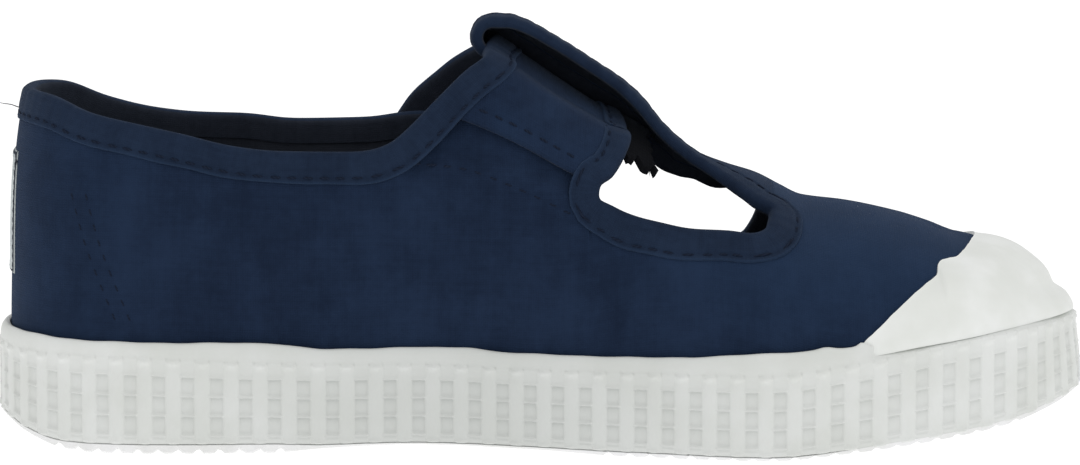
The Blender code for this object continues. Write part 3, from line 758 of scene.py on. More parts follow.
class ThroatPattern(CrestPattern):
    """The canvas round the cut-outs: quarters and vamp on the last, and the T-bar that leaves it.

    The T-bar's height is its own table, laid on the last again between two stations. Behind the fold
    station the pattern runs round the fold and forward again under the strap, where it sags.
    """

    laid = (28.0, 35.5)
    drop_limit = 1.8
    shoulder = (1.2, 3.6)
    fold_radius = 2.3
    fold_reach = 3.0
    settle = 6.0
    under_lift = -3.3
    under_lift_ahead = -0.8
    arch = 5.4
    arch_stations = (5.0, 12.0)
    bar_wall = 1.2
    bar_wall_stations = (27.0, 36.0)

    def wall(self, a: Array) -> Array:
        """Thickness of the cloth at station a: the T-bar is thinner than the lined quarters."""
        return self.bar_wall + (WALL - self.bar_wall) * smoothstep(a, *self.bar_wall_stations)

    def surface(self, a: Array, b: Array) -> Array:
        """Vamp and quarters on the last; the T-bar at its own height: top less drop times share squared.

        Args:
            a: Stations.
            b: Lengths from the crest.

        Returns:
            Points of the outer face.
        """
        base = self.bare(a, b)
        ground = base + self.facing(self.bare, a, b) * relief(base)[..., None]
        off = base[..., 1] - self.last.middle(a)
        half = T_BAR.at("half", a)
        drop = np.where(b < 0, T_BAR.at("medial_drop", a), T_BAR.at("lateral_drop", a))
        raised = T_BAR.at("top", a) - drop * np.minimum((off / half) ** 2, self.drop_limit)
        free = 1.0 - smoothstep(a, *self.laid)
        share = free * (1.0 - smoothstep(np.abs(off) - half, *self.shoulder))
        height = ground[..., 2] * (1.0 - share) + raised * share
        return np.stack([ground[..., 0], ground[..., 1], height], -1)

    def point(self, a: Array, b: Array, height: Array | float = 0.0) -> Array:
        """Point of the canvas; places behind the fold station go round the fold and below.

        Args:
            a: Stations; behind the fold they run on backwards by length.
            b: Lengths from the crest.
            height: Heights over the outer face.

        Returns:
            Points.
        """
        a, b, height = np.broadcast_arrays(*(np.asarray(values, float) for values in (a, b, height)))
        top = super().point(np.maximum(a, FOLD_X), b, height)
        behind = np.maximum(FOLD_X - a, 0.0)
        if not behind.any():
            return top
        middle_radius = self.fold_radius + self.bar_wall / 2
        half_turn = np.pi * middle_radius
        centre, back, up = self._fold_frame()
        turned = self._turned(top - centre, np.minimum(behind, half_turn) / middle_radius, back, up) + centre
        ahead = np.maximum(behind - half_turn, 0.0)
        below = smoothstep(ahead, 0.0, self.settle)[..., None]
        slid = turned - ahead[..., None] * back
        lower = slid * (1.0 - below) + self._under(FOLD_X + ahead, b, height) * below
        return np.where((behind > 0)[..., None], np.where((ahead > 0)[..., None], lower, turned), top)

    @staticmethod
    def _turned(local: Array, angle: Array, back: Array, up: Array) -> Array:
        """Points turned round the fold's axis: their parts along back and up change places by the angle.

        Args:
            local: Points from the fold's centre.
            angle: Turns in radians.
            back: Unit vector that the fold points back along.
            up: Unit vector square to it.

        Returns:
            Turned points from the centre.
        """
        run, rise = local @ back, local @ up
        rest = local - run[..., None] * back - rise[..., None] * up
        rest = rest + (run * np.cos(angle) + rise * np.sin(angle))[..., None] * back
        return rest + (rise * np.cos(angle) - run * np.sin(angle))[..., None] * up

    def _under(self, x: Array, b: Array, height: Array) -> Array:
        """Lower layer of the T-bar under the strap, which sags off the last ahead of it.

        Args:
            x: Stations.
            b: Lengths from the crest.
            height: Heights over the layer's outer face, which looks down.

        Returns:
            Points.
        """
        freed = smoothstep(x, *self.arch_stations)
        lift = self.under_lift + (self.under_lift_ahead - self.under_lift) * freed
        bare = self.bare(x, b)
        off = (bare[..., 1] - self.last.middle(x)) / T_BAR.at("half", x)
        bare = bare + self.facing(self.bare, x, b) * (lift - self.bar_wall - height)[..., None]
        bare[..., 2] -= self.arch * freed * off**2
        return bare

    def _fold_frame(self) -> tuple[Array, Array, Array]:
        """Place of the fold.

        Returns:
            Its centre, the direction that it points back along, and the direction up from it.
        """
        ends = super().point(np.array([FOLD_X, FOLD_X + self.fold_reach]), np.zeros(2))
        back = unit(ends[0] - ends[1])
        up = unit(np.array([back[2], 0.0, -back[0]]))
        return ends[0] - up * (self.bar_wall + self.fold_radius), back, up


class StrapPattern(CrestPattern):
    """The instep strap: its outer face stands over the last, higher where it laps over the lateral side."""

    medial_lift = 1.0
    lateral_lift = 2.35
    lap_turns = (100.0, 125.0)
    dip = 2.4
    dip_rise, dip_fall = (60.0, 76.0), (104.0, 118.0)
    ridge = 0.7
    ridge_spread = 9.0
    slack = 0.125
    slack_rise, slack_fall = (45.0, 70.0), (120.0, 140.0)

    def lift_at(self, turn: Array) -> Array:
        """Height of the outer face over the last: it dips under the T-bar, with a low ridge."""
        lapped = (self.lateral_lift - self.medial_lift) * smoothstep(turn, *self.lap_turns)
        dipped = self.dip * plateau(turn, self.dip_rise, self.dip_fall)
        return self.medial_lift + lapped - dipped + self.ridge * bell(turn, 90.0, self.ridge_spread)

    def surface(self, a: Array, b: Array) -> Array:
        """The bare last raised by the strap's lift and by the slow waves of its slack.

        Args:
            a: Stations.
            b: Lengths from the crest.

        Returns:
            Points of the outer face.
        """
        u = self.loops(a, b)
        turn = self.last.turn_at(u, np.abs(b), from_crest=True)
        full = np.where(b < 0, turn, 180.0 - turn)
        slack = self.slack * np.sin(a * 0.35 + b * 0.12) * plateau(full, self.slack_rise, self.slack_fall)
        return self.last.rib(u, turn) + self.facing(self.bare, a, b) * (self.lift_at(full) + slack)[..., None]


# ------------ meshes


def quads(index: Array) -> Array:
    """Four-cornered faces of a grid of point numbers, rows by columns."""
    corners = (index[:-1, :-1], index[:-1, 1:], index[1:, 1:], index[1:, :-1])
    return np.stack([corner.ravel() for corner in corners], 1)


def tube_faces(rows: int, columns: int) -> Array:
    """Faces of a stack of closed loops of points, with strips across its first and last loop.

    Args:
        rows: Loops in the stack.
        columns: Points in a loop.

    Returns:
        Four point numbers for each face.
    """
    index = np.arange(rows * columns).reshape(rows, columns)
    half = np.arange(columns // 2 - 1)
    faces = [quads(ringed(index))]
    for ring, turn in ((index[0], 1), (index[-1], -1)):
        strip = np.column_stack([ring[half], ring[-half - 1], ring[-half - 2], ring[half + 1]])
        faces.append(strip[:, ::turn])
    return np.concatenate(faces)


@dataclass
class Skin:
    """Points in millimetres, four-cornered faces, and for each point a cloth coordinate and a tone."""

    points: Array
    faces: Array
    cloth: Array
    tone: Array

    @classmethod
    def grid(cls, points: Array, cloth: Array | None = None, tone: Array | float = 0.0) -> Skin:
        """Skin over a grid of points, rows by columns.

        Args:
            points: Points of the grid.
            cloth: Cloth coordinates of the points.
            tone: Tone of the points, or one for all.

        Returns:
            The open skin.
        """
        rows, columns = points.shape[:2]
        if cloth is None:
            cloth = np.zeros((rows, columns, 2))
        tone = np.broadcast_to(np.asarray(tone, float), (rows, columns))
        index = np.arange(rows * columns).reshape(rows, columns)
        return cls(points.reshape(-1, 3), quads(index), cloth.reshape(-1, 2), tone.reshape(-1).copy())

    @classmethod
    def tube(cls, points: Array, cloth: Array | None = None, tone: Array | float = 0.0) -> Skin:
        """Closed skin round a stack of loops of points, with flat ends."""
        skin = cls.grid(points, cloth, tone)
        skin.faces = tube_faces(*points.shape[:2])
        return skin

    @classmethod
    def joined(cls, *skins: Skin) -> Skin:
        """One skin from several, side by side.

        Args:
            *skins: The skins.

        Returns:
            Their points and faces in one.
        """
        starts = summed(np.array([len(skin.points) for skin in skins]))
        faces = [skin.faces + start for skin, start in zip(skins, starts)]
        points, cloth, tone = (np.concatenate([getattr(skin, name) for skin in skins])
                               for name in ("points", "cloth", "tone"))
        return cls(points, np.concatenate(faces), cloth, tone)

    def merged(self, reach: float = 1e-4) -> tuple[Skin, Array]:
        """Skin with its coincident points made one.

        Args:
            reach: Points nearer than this are one.

        Returns:
            The skin, and the number of the point kept for each of its points.
        """
        keys = np.round(self.points / reach).astype(np.int64)
        _, first, which = np.unique(keys, axis=0, return_index=True, return_inverse=True)
        which = which.reshape(-1)
        return Skin(self.points[first], which[self.faces], self.cloth[first], self.tone[first]), first

    def thickened(self, inner: Array, tone: float = 0.0) -> Skin:
        """Closed wall between this open skin and an inner one of the same points.

        Args:
            inner: Inner points, one for each point of the skin.
            tone: Tone added on the inner face.

        Returns:
            Both faces, joined by a strip along every edge that only one face has.
        """
        count = len(self.points)
        edges = self.faces[:, [0, 1, 1, 2, 2, 3, 3, 0]].reshape(-1, 2)
        edges = edges[edges[:, 0] != edges[:, 1]]
        ordered = np.sort(edges, 1)
        _, where, times = np.unique(ordered[:, 0] * count + ordered[:, 1], return_index=True,
                                    return_counts=True)
        rim = edges[where[times == 1]]
        wall = np.column_stack([rim[:, 1], rim[:, 0], rim[:, 0] + count, rim[:, 1] + count])
        return Skin(np.concatenate([self.points, inner]),
                    np.concatenate([self.faces, self.faces[:, ::-1] + count, wall]),
                    np.concatenate([self.cloth, self.cloth]),
                    np.concatenate([self.tone, self.tone + tone]))

    def outward(self) -> Skin:
        """The same skin with its faces turned outwards, by the sign of the volume it encloses.

        Returns:
            A skin of the same points.
        """
        a, b, c, d = (self.points[self.faces[:, i]] for i in range(4))
        volume = np.einsum("ij,ij->i", a, np.cross(b, c) + np.cross(c, d)).sum()
        faces = self.faces if volume > 0 else self.faces[:, ::-1]
        return Skin(self.points, faces, self.cloth, self.tone)

    def build(self, name: str, finish: Finish, sharp: float = 50.0) -> bpy.types.Object:
        """Blender object of this skin, shaded smooth except over edges sharper than an angle.

        Args:
            name: Name of the piece.
            finish: Finish that dresses it.
            sharp: Angle of an edge that stays sharp, in degrees.

        Returns:
            The new object, at the origin, with its place in its mesh.
        """
        same = self.faces == np.roll(self.faces, -1, 1)
        pointed = same.any(1)
        whole = self.faces[~pointed].tolist()
        corners = self.faces[pointed & (same.sum(1) == 1)]
        keep = ~(corners == np.roll(corners, -1, 1))
        three = corners[keep].reshape(-1, 3).tolist()
        mesh = bpy.data.meshes.new(name)
        mesh.from_pydata((self.points * MM).tolist(), [], whole + three)
        mesh.shade_smooth()
        mesh.set_sharp_from_angle(angle=math.radians(sharp))
        loops = np.zeros(len(mesh.loops), int)
        mesh.loops.foreach_get("vertex_index", loops)
        layer = mesh.uv_layers.new(name="cloth")
        layer.data.foreach_set("uv", self.cloth[loops].ravel())
        tone = mesh.attributes.new("tone", "FLOAT", "POINT")
        tone.data.foreach_set("value", self.tone)
        mesh.materials.append(finish.material())
        piece = bpy.data.objects.new(name, mesh)
        bpy.context.scene.collection.objects.link(piece)
        return piece


def capsules(count: int, length: float, radius: float, rings: int = 5, sides: int = 6) -> tuple[Array, Array]:
    """Small closed grains for stitches, the same shape many times.

    Args:
        count: How many.
        length: Length of one.
        radius: Radius at its middle.
        rings: Loops along it.
        sides: Points round it.

    Returns:
        Local points (grain, ring, side, 3) as along, across and up, where the radius goes with the root
        of 1 - t to the fourth, and the faces of all of them.
    """
    t = np.linspace(-0.97, 0.97, rings)[:, None]
    angle = np.linspace(0.0, 2 * np.pi, sides, endpoint=False)
    girth = radius * np.sqrt(1.0 - t**4)
    local = np.stack(np.broadcast_arrays(t * length / 2, girth * np.cos(angle), girth * np.sin(angle)), -1)
    every = tube_faces(rings, sides) + (np.arange(count) * rings * sides)[:, None, None]
    return np.broadcast_to(local, (count,) + local.shape), every.reshape(-1, 4)


# ------------ laying on cloth


@dataclass
class Route:
    """A line in a flat pattern, evenly spaced by its real length, with the direction into the cloth.

    Rise is how far each place stands over the pattern, where the line climbs on to another layer.
    """

    pattern: Pattern
    places: Array
    inward_sign: float
    rise: Array | None = None
    spacing: float = 0.7

    def __post_init__(self) -> None:
        """Space the places evenly and measure how the pattern moves across the line."""
        points = self.pattern.point(self.places[:, 0], self.places[:, 1])
        length = running_length(points)
        count = max(int(length[-1] / self.spacing), 2) + 1
        self.run = np.linspace(0.0, length[-1], count)
        rise = np.zeros(len(length)) if self.rise is None else self.rise
        self.rise = np.interp(self.run, length, rise)
        self.places = along(self.places, length, self.run)
        self.length = float(length[-1])
        a, b = self.places.T
        slope_a, slope_b = self.pattern.slopes(a, b)
        ahead = np.gradient(self.places, self.run, axis=0)
        tangent = unit(slope_a * ahead[:, :1] + slope_b * ahead[:, 1:])
        normal = unit(np.cross(slope_a, slope_b))
        inward = np.cross(normal, tangent) * self.inward_sign
        aa, bb = (slope_a**2).sum(1), (slope_b**2).sum(1)
        ab = (slope_a * slope_b).sum(1)
        pa, pb = (inward * slope_a).sum(1), (inward * slope_b).sum(1)
        det = aa * bb - ab * ab
        self.across = np.stack([(pa * bb - pb * ab) / det, (pb * aa - pa * ab) / det], 1)

    def point(self, run: Array, inward: Array, height: Array) -> Array:
        """Points beside the line.

        Args:
            run: Lengths along the line.
            inward: Distances into the cloth.
            height: Heights over it.

        Returns:
            Points.
        """
        place = along(self.places, self.run, run)
        across = along(self.across, self.run, run)
        a = place[..., 0] + across[..., 0] * inward
        b = place[..., 1] + across[..., 1] * inward
        return self.pattern.point(a, b, height + np.interp(run, self.run, self.rise))


@dataclass
class Binding:
    """Cloth tape folded over an edge: outer leg with its stitched dip, a roll round the edge, inner leg."""

    rise: float = 0.42
    roll: float = 0.5
    leg: float = 0.3
    inner_width: float = 3.6
    stitch_from_edge: float = 0.95
    pucker: float = 0.05
    pucker_pitch: float = 2.6
    rubbed: float = 0.35
    rubbed_width: float = 0.3
    inside: float = -0.6

    def profile(self, width: Array, wall: Array) -> tuple[Array, Array]:
        """Section of the tape at each width, as distances into the cloth and heights.

        Args:
            width: Width of the outer leg along the line.
            wall: Thickness of the cloth that it binds along the line.

        Returns:
            Distances and heights, each rows by section points.
        """
        w = width[:, None]
        top = self.rise
        lip = self.stitch_from_edge
        low = -wall[:, None]
        ones = np.ones_like(w)
        outer_leg = [(w, -0.25), (w + 0.02, top * 0.55), (w - 0.12, top * 0.95), (w - lip * 0.55, top * 0.92),
                     (w - lip, top * 0.52), (w - lip * 1.5, top * 0.95), (w - lip * 2.2, top * 1.08),
                     (w * 0.45, top * 1.05), (w * 0.3, top * 1.05), (0.9 * ones, top * 1.08)]
        edge = [(0.35 * ones, top), (-0.08 * ones, top * 0.62), (-self.roll * 0.72 * ones, 0.0),
                (-self.roll * ones, low * 0.25), (-self.roll * 1.06 * ones, low * 0.5),
                (-self.roll * ones, low * 0.78), (-self.roll * 0.7 * ones, low)]
        inner_leg = [(-0.05 * ones, low - self.leg * 0.7), (0.5 * ones, low - self.leg),
                     (self.inner_width * 0.6 * ones, low - self.leg),
                     (self.inner_width * ones, low - self.leg * 0.9),
                     ((self.inner_width + 0.1) * ones, low + 0.25)]
        rows = outer_leg + edge + inner_leg
        distance = np.concatenate([np.broadcast_to(row[0], w.shape) for row in rows], 1)
        height = np.concatenate([row[1] * ones for row in rows], 1)
        return distance, height

    def skin(self, route: Route, width: Array | float, seed: float = 0.0, wall: Array | float = WALL) -> Skin:
        """The tape along a route; its width and rise waver a little, as sewn tape does.

        Args:
            route: Edge that it binds.
            width: Width of its outer leg, one or one for each place of the route.
            seed: Phase of its waver.
            wall: Thickness of the cloth that it binds, one or one for each place.

        Returns:
            The closed tape, its outer leg's edge rubbed and its inner leg dark.
        """
        run = route.run
        width = np.broadcast_to(np.asarray(width, float), run.shape)
        wall = np.broadcast_to(np.asarray(wall, float), run.shape)
        waver = waves(run, (0.10, 0.21, seed), (0.06, 0.57, 2.0 * seed))
        distance, height = self.profile(width + waver, wall)
        pucker = self.pucker * np.sin(run * 2.0 * np.pi / self.pucker_pitch)[:, None]
        height = height + np.where(height > 0.1, pucker, 0.0)
        along_run = np.broadcast_to(run[:, None], distance.shape)
        points = route.point(along_run, distance, height)
        girth = summed(np.abs(np.diff(distance, axis=1)) + np.abs(np.diff(height, axis=1)), 1)
        tone = np.where(np.abs(distance - width[:, None]) < self.rubbed_width, self.rubbed, 0.0)
        tone = np.where(height < -0.9 * wall[:, None], self.inside, tone)
        return Skin.tube(points, np.stack([along_run, girth], -1), tone).outward()


@dataclass
class StitchRow:
    """Lockstitches along a route: short grains of thread, each dipping into the cloth at its ends."""

    pitch: float = 2.6
    length: float = 1.9
    radius: float = 0.2
    flatness: float = 0.8
    sag: float = 0.24
    stray: float = 0.12
    tilts: Pair = (-0.08, 0.02)
    seed: int = 5

    def skin(self, route: Route, inward: Array | float, height: float, start: float = 0.0,
             stop: float | None = None) -> Skin:
        """One row of stitches.

        Args:
            route: Line that the row follows.
            inward: Distance of the row into the cloth from the line, or one for each of its places.
            height: Height of the thread's middle over the cloth.
            start: Where the row starts along the line.
            stop: Where it ends, or None for the line's end.

        Returns:
            All stitches of the row as one skin of closed grains.
        """
        stop = route.length if stop is None else stop
        count = max(int((stop - start) / self.pitch), 1)
        local, faces = capsules(count, self.length, self.radius)
        centre = start + (np.arange(count) + 0.5) * self.pitch
        centre = centre + seeded_noise(self.seed, count, -self.stray, self.stray)
        tilt = seeded_noise(self.seed + 1, count, *self.tilts)[:, None, None]
        sag = self.sag * (2.0 * local[..., 0] / self.length) ** 4
        run = centre[:, None, None] + local[..., 0]
        from_line = np.interp(centre, route.run, np.broadcast_to(np.asarray(inward, float), route.run.shape))
        inner = from_line[:, None, None] + local[..., 1] + tilt * local[..., 0]
        up = height + local[..., 2] * self.flatness - sag
        points = route.point(run.reshape(-1), inner.reshape(-1), up.reshape(-1))
        cloth = np.stack([run.reshape(-1), inner.reshape(-1)], 1)
        return Skin(points, faces, cloth, np.zeros(len(points))).outward()


@dataclass
class LooseYarn:
    """Frayed ends of yarn: thin hairs that start in the cloth, bend and taper."""

    radius: float = 0.1
    taper: float = 0.6
    curl: float = 0.12
    rings: int = 9
    sides: int = 5

    def skin(self, starts: Array, ways: Array, bends: Array) -> Skin:
        """Hairs from their starts: start plus way times t plus bend times t squared, thinner to the end.

        Args:
            starts: First points of the hairs.
            ways: Direction and length of each hair.
            bends: How far the end of each is bent from its way.

        Returns:
            All hairs as one skin.
        """
        t = np.linspace(0.0, 1.0, self.rings)[:, None]
        curl = self.curl * np.sin(t * 9.0 + starts[:, None, :1] * 5.0)
        middle = starts[:, None] + ways[:, None] * t + bends[:, None] * t**2
        middle = middle + curl * unit(np.cross(ways, (0.3, 1.0, 0.2)))[:, None]
        side = unit(np.cross(ways, (0.2, 0.3, 1.0)))[:, None, None]
        other = unit(np.cross(ways[:, None, None], side))
        angle = np.linspace(0.0, 2 * np.pi, self.sides + 1)[:-1, None]
        girth = (self.radius * (1.0 - self.taper * t**2))[None, :, None]
        rings = middle[:, :, None] + girth * (side * np.cos(angle) + other * np.sin(angle))
        hairs = [Skin.tube(ring) for ring in rings]
        return Skin.joined(*(hair.outward() for hair in hairs))


# ------------ finishes


class Value:
    """Number on a node socket that takes part in Python expressions; each operation is a Math node."""

    def __init__(self, kit: NodeKit, socket: Socket) -> None:
        self.kit = kit
        self.socket = socket

    def __add__(self, other: Value | float) -> Value:
        """Sum."""
        return self.kit.math("ADD", self, other)

    def __radd__(self, other: Value | float) -> Value:
        """Sum with the number first."""
        return self.kit.math("ADD", other, self)

    def __sub__(self, other: Value | float) -> Value:
        """Difference."""
        return self.kit.math("SUBTRACT", self, other)

    def __rsub__(self, other: Value | float) -> Value:
        """Difference with the number first."""
        return self.kit.math("SUBTRACT", other, self)

    def __mul__(self, other: Value | float) -> Value:
        """Product."""
        return self.kit.math("MULTIPLY", self, other)

    def __rmul__(self, other: Value | float) -> Value:
        """Product with the number first."""
        return self.kit.math("MULTIPLY", other, self)

    def sine(self) -> Value:
        """Sine of this value in radians."""
        return self.kit.math("SINE", self)

    def size(self) -> Value:
        """Absolute value."""
        return self.kit.math("ABSOLUTE", self)

    def between(self, low: float, high: float) -> Value:
        """0 at low, 1 at high, soft between and held beyond."""
        settings = {"interpolation_type": "SMOOTHSTEP"}
        sockets = {"Value": self, "From Min": low, "From Max": high}
        return self.kit.node("ShaderNodeMapRange", settings, sockets).value("Result")


class Node:
    """One placed shader node and its outputs."""

    def __init__(self, kit: NodeKit, node: bpy.types.Node) -> None:
        """Keep the node and its kit."""
        self.kit = kit
        self.node = node

    def value(self, name: str) -> Value:
        """Output of that name as a number for expressions."""
        return Value(self.kit, self.node.outputs[name])

    def output(self, name: str) -> Socket:
        """Output of that name as it is."""
        return self.node.outputs[name]


class NodeKit:
    """Adds the nodes of one material."""

    def __init__(self, material: bpy.types.Material) -> None:
        """Start from the material's own Principled shader."""
        material.use_nodes = True
        self.tree = material.node_tree
        self.shader = Node(self, self.tree.nodes["Principled BSDF"])

    def node(self, kind: str, settings: dict[str, object], sockets: dict[str | int, object]) -> Node:
        """Place a node: its settings first, then its sockets.

        Args:
            kind: Type of the node.
            settings: Properties of the node.
            sockets: Input names or numbers with a number, colour, Value or socket.

        Returns:
            The placed node.
        """
        node = self.tree.nodes.new(kind)
        for name, setting in settings.items():
            setattr(node, name, setting)
        for name, source in sockets.items():
            self.feed(node.inputs[name], source)
        return Node(self, node)

    def feed(self, socket: Socket, source: object) -> None:
        """Link a source to an input, or set the input where the source is a plain number or colour.

        Args:
            socket: The input.
            source: A Value, an output socket, a number or a colour.
        """
        if isinstance(source, Value):
            self.tree.links.new(source.socket, socket)
        elif isinstance(source, Socket):
            self.tree.links.new(source, socket)
        else:
            socket.default_value = source

    def math(self, operation: str, *sources: Value | float) -> Value:
        """One Math node over its sources."""
        node = self.node("ShaderNodeMath", {"operation": operation}, dict(enumerate(sources)))
        return node.value("Value")

    def place(self) -> Socket:
        """Object coordinates."""
        return self.node("ShaderNodeTexCoord", {}, {}).output("Object")

    def cloth(self) -> tuple[Value, Value]:
        """Cloth coordinates of the piece, in millimetres along and across."""
        source = self.node("ShaderNodeUVMap", {"uv_map": "cloth"}, {}).output("UV")
        split = self.node("ShaderNodeSeparateXYZ", {}, {"Vector": source})
        return split.value("X"), split.value("Y")

    def tone(self) -> Value:
        """The piece's own tone attribute."""
        settings = {"attribute_type": "GEOMETRY", "attribute_name": "tone"}
        return self.node("ShaderNodeAttribute", settings, {}).value("Fac")

    def noise(self, vector: Socket, scale: float, detail: float = 3.0, roughness: float = 0.55) -> Value:
        """Noise between about 0 and 1, with scale as its waves per metre."""
        sockets = {"Vector": vector, "Scale": scale, "Detail": detail, "Roughness": roughness}
        return self.node("ShaderNodeTexNoise", {}, sockets).value("Fac")

    def stretched(self, vector: Socket, scale: Triple) -> Socket:
        """A vector scaled on its three axes."""
        return self.node("ShaderNodeMapping", {}, {"Vector": vector, "Scale": scale}).output("Vector")

    def combined(self, x: Value | float, y: Value | float, z: Value | float = 0.0) -> Socket:
        """Vector from three numbers."""
        return self.node("ShaderNodeCombineXYZ", {}, {"X": x, "Y": y, "Z": z}).output("Vector")

    def mixed(self, share: Value | float, one: object, two: object) -> Socket:
        """Colour from one to two by a share; the Mix node's colour sockets only have numbers."""
        settings = {"data_type": "RGBA", "blend_type": "MIX", "clamp_factor": True}
        return self.node("ShaderNodeMix", settings, {0: share, 6: one, 7: two}).node.outputs[2]

    def scaled(self, colour: object, factors: Triple) -> Socket:
        """Colour times three factors."""
        node = self.node("ShaderNodeVectorMath", {"operation": "MULTIPLY"}, {0: colour, 1: factors})
        return node.output("Vector")

    def bump(self, height: Value, strength: float, distance: float, below: Socket | None = None) -> Socket:
        """Normal from a height, on top of another bump where one is given.

        Args:
            height: Heights, 0 to 1.
            strength: Share of the bump that counts.
            distance: Metres that a height of 1 stands for.
            below: Bump under this one.

        Returns:
            The normal's socket.
        """
        sockets: dict[str | int, object] = {"Height": height, "Strength": strength, "Distance": distance}
        if below is not None:
            sockets["Normal"] = below
        return self.node("ShaderNodeBump", {}, sockets).output("Normal")

    def set_shader(self, **sockets: object) -> None:
        """Feed the Principled shader; underscores in a name stand for spaces."""
        for name, source in sockets.items():
            self.feed(self.shader.node.inputs[name.replace("_", " ")], source)


def rgb(red: float, green: float, blue: float) -> Colour:
    """Linear colour of three screen values up to 255, by the usual curve with its straight foot."""
    screen = np.array([red, green, blue]) / 255.0
    linear = np.where(screen <= 0.04045, screen / 12.92, ((screen + 0.055) / 1.055) ** 2.4)
    return (float(linear[0]), float(linear[1]), float(linear[2]), 1.0)


def tinted(colour: Colour, red: float, green: float, blue: float) -> Colour:
    """Colour with its three parts multiplied, up to 1."""
    return (min(colour[0] * red, 1.0), min(colour[1] * green, 1.0), min(colour[2] * blue, 1.0), 1.0)


@dataclass(frozen=True)
class Finish:
    """A finish with its material, made once and shared by the pieces that wear it."""

    name: str

    def material(self) -> bpy.types.Material:
        """The finish's material, made at its first use.

        Returns:
            The material.
        """
        known = bpy.data.materials.get(self.name)
        if known is not None:
            return known
        material = bpy.data.materials.new(self.name)
        self.paint(NodeKit(material))
        return material

    def paint(self, kit: NodeKit) -> None:
        """Add the finish's nodes."""
        raise NotImplementedError


@dataclass(frozen=True)
class Canvas(Finish):
    """Brushed plain-woven cotton: threads over and under, slubs, cloudy dye, and a darker lining face.

    The tone attribute is above 0 where the cloth is rubbed pale or has painted light, -1 on its lining face,
    and below -1.2 where a darker copy of the lining paints shade.
    """

    colour: Colour
    lining: Colour
    thread: float = 0.38
    nap: float = 0.16
    cloud: float = 0.2
    relief: float = 0.5
    rough: float = 0.95
    sheen: float = 0.07
    streak: float = 0.45
    drift: float = 0.7
    dark: Triple = (0.68, 0.68, 0.7)
    pale: Triple = (1.36, 1.34, 1.3)
    wear_and_light: Triple = (1.95, 2.2, 2.15)

    def paint(self, kit: NodeKit) -> None:
        """Colour from the weave, slubs, clouds and nap; the tone picks the lining, a darker copy of it as
        painted shade, or the colour for rubbed wear and painted light.

        Args:
            kit: Adds the nodes.
        """
        place = kit.place()
        slub, weave = self.threads(kit, place)
        cloud = kit.noise(place, 70.0, 4.0, 0.6)
        fuzz = kit.noise(place, 700.0, 3.0, 0.7)
        streak = kit.noise(kit.stretched(place, (1.0, 1.0, 0.22)), 330.0, 3.0)
        light = (weave - 0.55) * self.nap + (slub - 0.5) * 0.5 + (cloud - 0.5) * self.cloud * 2.0
        light = light + (fuzz - 0.5) * 0.5 + (streak - 0.5) * self.streak + 0.5
        tone = kit.tone()
        # Below -1.2 the tone takes a darker copy of the lining: painted shade under the T-bar's fold.
        inside = kit.mixed(tone.between(-1.2, -1.8), self.lining, tinted(self.lining, 0.4, 0.36, 0.32))
        face = kit.mixed(tone.between(-0.3, -0.7), self.colour, inside)
        shade = kit.mixed(light.between(0.05, 0.95), kit.scaled(face, self.dark), kit.scaled(face, self.pale))
        wear_and_light = kit.mixed(tone, shade, kit.scaled(face, self.wear_and_light))
        coarse = kit.bump(slub, 0.3, 0.00025)
        soft = kit.bump(fuzz, 0.25, 0.00012, coarse)
        normal = kit.bump(weave, self.relief, 0.00012, soft)
        kit.set_shader(Base_Color=wear_and_light, Roughness=self.rough, Normal=normal, Sheen_Weight=self.sheen,
                       Sheen_Roughness=0.45, Sheen_Tint=(0.6, 0.75, 1.0, 1.0), Specular_IOR_Level=0.08)

    def threads(self, kit: NodeKit, place: Socket) -> tuple[Value, Value]:
        """Threads of the cloth.

        Warp and weft are the sizes of two sines; a soft checker, their product, says which is on top.

        Args:
            kit: Adds the nodes.
            place: Object coordinates, which bend the threads a little.

        Returns:
            Thickness of the slubs and height of the weave, each about 0 to 1.
        """
        u, v = kit.cloth()
        drift = (kit.noise(place, 240.0, 2.0) - 0.5) * self.drift
        warp = ((u + drift) * (math.pi / self.thread)).sine()
        weft = ((v + drift) * (math.pi / self.thread)).sine()
        over = (warp * weft).between(-0.35, 0.35)
        slub_u = kit.noise(kit.combined(u * 0.07, v * 1.6), 1.0, 2.0)
        slub_v = kit.noise(kit.combined(u * 1.6, v * 0.07), 1.0, 2.0)
        return (slub_u + slub_v) * 0.5, warp.size() * over + weft.size() * (1.0 - over)


@dataclass(frozen=True)
class Rubber(Finish):
    """Moulded rubber: a soft satin skin, faint clouds, pores, and painted shade in its hollows by the tone.
    """

    colour: Colour
    hollow: Colour
    rough: float = 0.46
    pores: float = 0.25

    def paint(self, kit: NodeKit) -> None:
        """Colour from clouds and the tone, which paints shade towards the hollow colour; fine noise breaks
        the gloss.

        Args:
            kit: Adds the nodes.
        """
        place = kit.place()
        cloud = kit.noise(place, 90.0, 3.0)
        grain = kit.noise(place, 1600.0, 2.0)
        pale, dull = tinted(self.colour, 1.04, 1.04, 1.05), tinted(self.colour, 0.93, 0.935, 0.92)
        skin = kit.mixed(cloud.between(0.3, 0.7), dull, pale)
        colour = kit.mixed(kit.tone() + (grain - 0.5) * 0.08, skin, self.hollow)
        normal = kit.bump(grain, self.pores, 0.00008)
        rough = (cloud - 0.5) * 0.16 + self.rough
        kit.set_shader(Base_Color=colour, Roughness=rough, Normal=normal, Specular_IOR_Level=0.45)


@dataclass(frozen=True)
class Thread(Finish):
    """Spun sewing thread, its ply turning round it."""

    colour: Colour

    def paint(self, kit: NodeKit) -> None:
        """Stripes of ply along and across the grain, darker between the plies as painted shade in the
        grooves.

        Args:
            kit: Adds the nodes.
        """
        u, v = kit.cloth()
        ply = (u * 9.0 + v * 12.0).sine() * 0.5 + 0.5
        colour = kit.mixed(ply, tinted(self.colour, 0.6, 0.6, 0.6), self.colour)
        normal = kit.bump(ply, 0.5, 0.00008)
        kit.set_shader(Base_Color=colour, Roughness=0.9, Normal=normal, Specular_IOR_Level=0.1)


